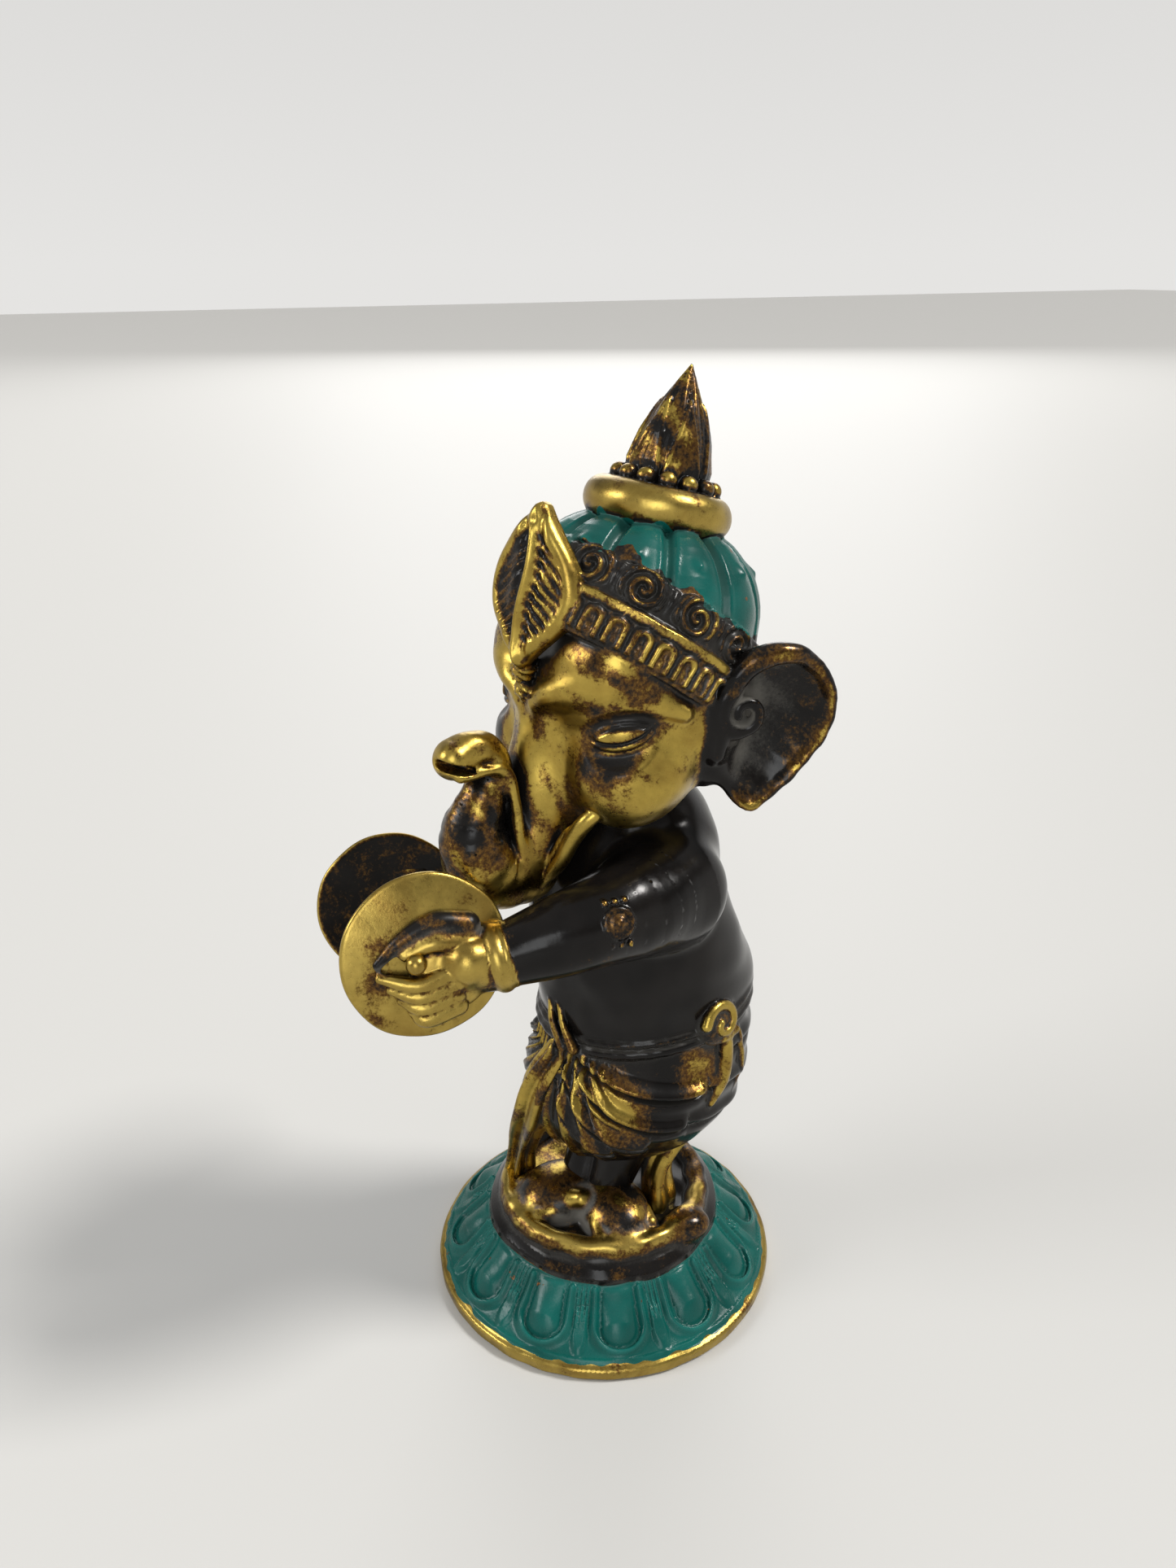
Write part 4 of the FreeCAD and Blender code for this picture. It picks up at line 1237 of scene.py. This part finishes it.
# ---------------------------------------------------------------- cymbals and rivets, turned on a lathe
def lathe(name, c, d, prof, seg, attrs_of, wob=0.0):
    d = Vector(d).normalized()
    rot = d.to_track_quat("Z", "Y").to_matrix()
    rng = np.random.RandomState(11)
    ph = rng.uniform(0, 6.28, 4)
    P, quads = [], []
    n = len(prof)
    for i in range(seg):
        a = 2 * math.pi * i / seg
        w = wob * (math.sin(2 * a + ph[0]) + 0.6 * math.sin(5 * a + ph[1]) + 0.4 * math.sin(9 * a + ph[2]))
        for r, z in prof:
            k = (r / prof[-1][0] if prof[-1][0] else 1) if wob else 0
            rr = r + 0.6 * w * min(1.0, r / 14.0)
            p = Vector((rr * math.cos(a), rr * math.sin(a), z + w * 0.7 * (r / 14.0) ** 2))
            P.append(tuple(rot @ p + Vector(c)))
    for i in range(seg):
        j = (i + 1) % seg
        for k in range(n - 1):
            quads.append((i * n + k, j * n + k, j * n + k + 1, i * n + k + 1))
    P = np.array(P, F)
    quads = np.array(quads)
    A, Bv, C, D = (P[quads[:, i]] for i in range(4))
    fn = np.cross(C - A, D - Bv)
    N = np.zeros_like(P)
    for i in range(4):
        np.add.at(N, quads[:, i], fn)
    N /= np.maximum(norm(N), 1e-9)[:, None]
    rad = np.tile(np.array([r for r, z in prof], F), seg)
    hgt = np.tile(np.array([z for r, z in prof], F), seg)
    return build(name, P, N, quads, attrs_of(P, rad, hgt))


def cymbal_prof():
    out = []
    R = 14.2
    back = [(r, 1.0 + 1.0 - 1.9 * (r / R) ** 2 * 0.92) for r in np.linspace(0.02, R - 0.35, 30)]
    front = [(r, z - 1.05) for r, z in back]
    edge = [(R - 0.1, back[-1][1] - 0.25), (R, back[-1][1] - 0.55), (R - 0.1, back[-1][1] - 0.85)]
    return list(reversed([(r, z) for r, z in front])), edge, back


for k, name in ((1, "cymbal_left"), (0, "cymbal_right")):
    c, d = cymbal_frame(k)
    front, edge, back = cymbal_prof()
    prof = back + edge + front

    def looks(P, rad, hgt, n=len(back), total=len(prof)):
        i = np.tile(np.arange(total), len(P) // total)
        inner = (i >= n + 2)
        z = np.zeros(len(P), F)
        stain = np.clip(lumps(P, 9.0, 101) * 0.6, 0, 1)
        gold = np.where(inner, -0.3, 0.85 - 0.6 * stain).astype(F)
        rim = bump(rad - 14.1, 0.25)
        return {"gold": np.maximum(gold, rim * 0.6), "paint": z, "dust": np.where(inner, 0.6, 0.0).astype(F) * (1 - rim),
                "cav": z, "wide": z, "edge": (rim * 0.6).astype(F)}
    lathe(name + ".sculpt", c, d, prof, 160, looks, 0.16)

for k, name in ((1, "rivet_left"), (0, "rivet_right")):
    c, d = cymbal_frame(k)
    c = c + np.array([0, -2.6, 0.2]) + d * 4.6
    prof = [(0.01, 1.75)] + [(1.75 * math.sin(a), 1.75 * math.cos(a)) for a in np.linspace(0.12, 2.3, 14)] + [(0.9, -3.0)]

    def looks(P, rad, hgt):
        z = np.zeros(len(P), F)
        return {"gold": z + 0.98, "paint": z, "dust": z, "cav": step(-0.6 - hgt, 0.5).astype(F), "wide": z, "edge": z}
    lathe(name + ".sculpt", c, d, prof, 40, looks)


# ---------------------------------------------------------------- materials
def metal(name, seed, gold_rgb, dark_rgb, gloss):
    """Aged metal: bright where proud or polished, dark patina, paint with chips, grey dust in hollows."""
    m = bpy.data.materials.new(name)
    m.use_nodes = True
    t = m.node_tree
    t.nodes.clear()
    N, L = t.nodes, t.links

    def node(kind, **kw):
        n = N.new(kind)
        for a, v in kw.items():
            setattr(n, a, v)
        return n

    def link(a, b):
        L.new(a, b)

    def attr(n):
        a = node("ShaderNodeAttribute", attribute_name=n)
        return a.outputs["Fac"]

    def math_(op, a, b=None, c=None, clamp=False):
        n = node("ShaderNodeMath", operation=op, use_clamp=clamp)
        for i, v in enumerate((a, b, c)):
            if v is None:
                continue
            if isinstance(v, (int, float)):
                n.inputs[i].default_value = v
            else:
                link(v, n.inputs[i])
        return n.outputs[0]

    def mix(f, a, b):
        n = node("ShaderNodeMix", data_type="RGBA")
        for i, v in ((0, f), (6, a), (7, b)):
            if isinstance(v, (int, float)):
                n.inputs[i].default_value = v
            elif isinstance(v, tuple):
                n.inputs[i].default_value = (*v, 1)
            else:
                link(v, n.inputs[i])
        return n.outputs[2]

    def mixf(f, a, b):
        n = node("ShaderNodeMix", data_type="FLOAT")
        for i, v in ((0, f), (2, a), (3, b)):
            if isinstance(v, (int, float)):
                n.inputs[i].default_value = v
            else:
                link(v, n.inputs[i])
        return n.outputs[0]

    def noise(scale, detail=4.0, rough=0.6, off=0.0, stretch=None, distort=0.0):
        n = node("ShaderNodeTexNoise")
        n.inputs["Scale"].default_value = scale
        n.inputs["Detail"].default_value = detail
        n.inputs["Roughness"].default_value = rough
        n.inputs["Distortion"].default_value = distort
        mp = node("ShaderNodeMapping")
        mp.inputs["Location"].default_value = (off + seed, off * 2.3, off * 3.1)
        if stretch:
            mp.inputs["Scale"].default_value = stretch
            mp.inputs["Rotation"].default_value = (0.4, 0.9, 0.3 + off)
        link(co, mp.inputs["Vector"])
        link(mp.outputs[0], n.inputs["Vector"])
        return n.outputs["Fac"]

    def ramp(v, lo, hi, a=0.0, b=1.0):
        n = node("ShaderNodeMapRange", interpolation_type="SMOOTHSTEP")
        n.inputs[1].default_value, n.inputs[2].default_value = lo, hi
        n.inputs[3].default_value, n.inputs[4].default_value = a, b
        link(v, n.inputs[0])
        return n.outputs[0]

    tc = node("ShaderNodeTexCoord")
    co = tc.outputs["Object"]
    gold, paint, dust = attr("gold"), attr("paint"), attr("dust")
    cav, wide, edge = attr("cav"), attr("wide"), attr("edge")

    blotch = noise(260, 6, 0.62)
    fine = noise(1500, 5, 0.7, 3.0)
    speck = noise(3200, 3, 0.6, 5.0)
    broad = noise(90, 3, 0.5, 7.0)
    # polished amount: mask, lifted on proud edges, sunk in hollows, broken by blotches
    g = math_("ADD", gold, math_("MULTIPLY", edge, 0.55))
    g = math_("SUBTRACT", g, math_("MULTIPLY", cav, 1.25))
    g = math_("SUBTRACT", g, math_("MULTIPLY", wide, 0.30))
    g = math_("ADD", g, math_("MULTIPLY", math_("SUBTRACT", blotch, 0.5), 1.0))
    g = math_("ADD", g, math_("MULTIPLY", math_("SUBTRACT", fine, 0.5), 0.85))
    shine = ramp(g, 0.34, 0.66)
    pits = ramp(speck, 0.30, 0.38, 0.0, 1.0)
    worn = math_("MULTIPLY", shine, mixf(ramp(broad, 0.45, 0.65), 1.0, mixf(pits, 0.25, 1.0)))
    # metal colours
    bright = mix(ramp(blotch, 0.35, 0.7), tuple(c * 0.78 for c in gold_rgb), gold_rgb)
    bright = mix(math_("MULTIPLY", ramp(noise(70, 5, 0.6, 17.0, None, 0.6), 0.44, 0.66), 0.62), bright, (0.21, 0.125, 0.026))
    brown = mix(ramp(fine, 0.35, 0.65), (0.07, 0.030, 0.009), (0.17, 0.088, 0.022))
    patina = mix(ramp(broad, 0.35, 0.65), dark_rgb, tuple(c * 1.9 for c in dark_rgb))
    halo = ramp(g, -0.02, 0.42)
    metal_rgb = mix(worn, mix(halo, patina, brown), bright)
    # paint with chips at its edge and scattered over it
    teal = mix(ramp(broad, 0.3, 0.7), (0.0015, 0.052, 0.043), (0.0025, 0.084, 0.070))
    # lighter teal on proud edges: a painted highlight
    teal = mix(math_("MULTIPLY", edge, 0.4, clamp=True), teal, (0.012, 0.17, 0.145))
    teal = mix(math_("MULTIPLY", cav, 0.2, clamp=True), teal, (0.04, 0.12, 0.10))
    pe = math_("ADD", paint, math_("MULTIPLY", math_("SUBTRACT", blotch, 0.5), 0.55))
    chips = ramp(noise(230, 4, 0.55, 11.0), 0.705, 0.72)
    cover = math_("MULTIPLY", ramp(pe, 0.48, 0.54), math_("SUBTRACT", 1.0, chips))
    chip_rgb = mix(ramp(fine, 0.4, 0.6), (0.10, 0.035, 0.015), (0.20, 0.09, 0.035))
    under = mix(ramp(paint, 0.6, 0.9), metal_rgb, chip_rgb)
    rgb = mix(cover, under, teal)
    # grey dust settled in hollows
    dusty = math_("MULTIPLY", dust, ramp(math_("ADD", math_("ADD", cav, wide), math_("MULTIPLY", fine, 0.5)), 0.35, 1.0),
                  clamp=True)
    dusty = math_("MULTIPLY", dusty, math_("SUBTRACT", 1.0, math_("MULTIPLY", worn, 0.85)))
    rgb = mix(math_("MULTIPLY", dusty, 0.75), rgb, (0.16, 0.15, 0.13))

    bs = node("ShaderNodeBsdfPrincipled")
    bs.inputs["Specular IOR Level"].default_value = 0.23
    link(rgb, bs.inputs["Base Color"])
    nonmetal = math_("MAXIMUM", cover, dusty)
    link(mixf(nonmetal, mixf(ramp(g, 0.0, 0.5), 0.2, 1.0), 0.0), bs.inputs["Metallic"])
    r_bright = math_("ADD", mixf(fine, 0.14, 0.36), math_("MULTIPLY", blotch, 0.10))
    r_dark = mixf(blotch, gloss, gloss + 0.20)
    rough = mixf(worn, r_dark, r_bright)
    rough = mixf(cover, rough, mixf(fine, 0.18, 0.34))
    rough = mixf(dusty, rough, 0.85)
    link(rough, bs.inputs["Roughness"])
    scratch = noise(900, 2, 0.5, 13.0, (0.12, 1.0, 1.0))
    bh = math_("ADD", math_("MULTIPLY", fine, 0.5), math_("MULTIPLY", worn, 0.25))
    bh = math_("ADD", bh, math_("MULTIPLY", scratch, 0.35))
    bh = math_("ADD", bh, math_("MULTIPLY", cover, 0.5))
    bm = node("ShaderNodeBump")
    link(mixf(worn, 0.2, 0.45), bm.inputs["Strength"])
    bm.inputs["Distance"].default_value = 0.00012
    link(bh, bm.inputs["Height"])
    link(bm.outputs[0], bs.inputs["Normal"])
    out = node("ShaderNodeOutputMaterial")
    link(bs.outputs[0], out.inputs[0])
    return m


GOLD = (0.46, 0.325, 0.068)
DARK = (0.0045, 0.0038, 0.0034)
MATS = {
    "brass": metal("polished_brass", 0.3, (0.43, 0.305, 0.072), DARK, 0.24),
    "aged_brass": metal("aged_brass", 1.7, GOLD, DARK, 0.17),
    "dark_bronze": metal("black_patina", 2.9, GOLD, DARK, 0.08),
    "teal_paint": metal("teal_paint_metal", 4.1, GOLD, DARK, 0.30),
}
SLOT = {s["node"]: s["material_slot"] for s in frame["record"]["subparts"]}
for name, ob in PIECES.items():
    base = name.split(".")[0]
    ob.data.materials.append(MATS[SLOT[base]])
    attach(ob, "root")
    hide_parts(base)

# ---------------------------------------------------------------- floor, light and camera
bpy.ops.mesh.primitive_plane_add(size=12.0, location=(0, 0, -0.0002))
floor = bpy.context.object
floor.name = "floor"
fm = bpy.data.materials.new("pale_floor")
fm.use_nodes = True
fb = fm.node_tree.nodes["Principled BSDF"]
fb.inputs["Base Color"].default_value = (0.47, 0.465, 0.45, 1)
fb.inputs["Roughness"].default_value = 0.6
floor.data.materials.append(fm)

world = bpy.data.worlds.new("studio")
bpy.context.scene.world = world
world.use_nodes = True
wt = world.node_tree
bg = wt.nodes["Background"]
wc = wt.nodes.new("ShaderNodeTexCoord")
ws = wt.nodes.new("ShaderNodeSeparateXYZ")
wr = wt.nodes.new("ShaderNodeValToRGB")
wt.links.new(wc.outputs["Generated"], ws.inputs[0])
wt.links.new(ws.outputs["Z"], wr.inputs[0])
wt.links.new(wr.outputs[0], bg.inputs[0])
wr.color_ramp.elements[0].position, wr.color_ramp.elements[0].color = 0.0, (0.98, 0.97, 0.95, 1)
wr.color_ramp.elements[1].position, wr.color_ramp.elements[1].color = 0.75, (0.63, 0.63, 0.63, 1)
for at, level in ((0.23, 0.88), (0.42, 0.14)):
    wr.color_ramp.elements.new(at).color = (level, level * 0.99, level * 0.97, 1)
bg.inputs[1].default_value = 0.8
bpy.context.scene.view_settings.view_transform = "Standard"


def area(name, loc, aim, size, power, rgb=(1, 1, 1)):
    ld = bpy.data.lights.new(name, "AREA")
    ld.shape = "RECTANGLE"
    ld.size, ld.size_y = size
    ld.energy = power
    ld.color = rgb
    ob = bpy.data.objects.new(name, ld)
    ob.location = loc
    ob.rotation_euler = (Vector(aim) - Vector(loc)).to_track_quat("-Z", "Y").to_euler()
    bpy.context.scene.collection.objects.link(ob)


key = bpy.data.lights.new("key", "SUN")
key.energy, key.angle, key.color = 3.0, 0.24, (1.0, 0.98, 0.95)
ko = bpy.data.objects.new("key", key)
ko.rotation_euler = Vector((-0.16, -0.40, -0.51)).to_track_quat("-Z", "Y").to_euler()
bpy.context.scene.collection.objects.link(ko)
area("fill", (2.48, -1.20, 1.33), (0, 0, 0.09), (1.2, 1.6), 28.8, (0.95, 0.98, 1.0))
area("front", (-0.40, -2.40, 1.53), (0, 0, 0.09), (1.2, 0.8), 35.2)
area("back", (-2.20, 1.00, 1.13), (0, 0, 0.09), (1.6, 1.6), 24.0)

# camera: close above the figure's left side
AZ, EL, DIST = 68.0, 45.2, 0.282
PAN, TILT = -0.7, -21.2
az, el = math.radians(AZ), math.radians(EL)
right = Vector((math.cos(az), math.sin(az), 0))
back = Vector((math.sin(az) * math.cos(el), -math.cos(az) * math.cos(el), math.sin(el)))
up = back.cross(right)
M = Matrix.Rotation(math.radians(TILT), 3, "X") @ Matrix.Rotation(math.radians(PAN), 3, "Y") @ Matrix((right, up, back))
cam = bpy.data.cameras.new("camera")
cam.sensor_width = 36.0
cam.lens = 27.05
cam.clip_start = 0.01
co = bpy.data.objects.new("camera", cam)
co.matrix_world = Matrix.Translation(back * DIST) @ M.transposed().to_4x4()
bpy.context.scene.collection.objects.link(co)
bpy.context.scene.camera = co
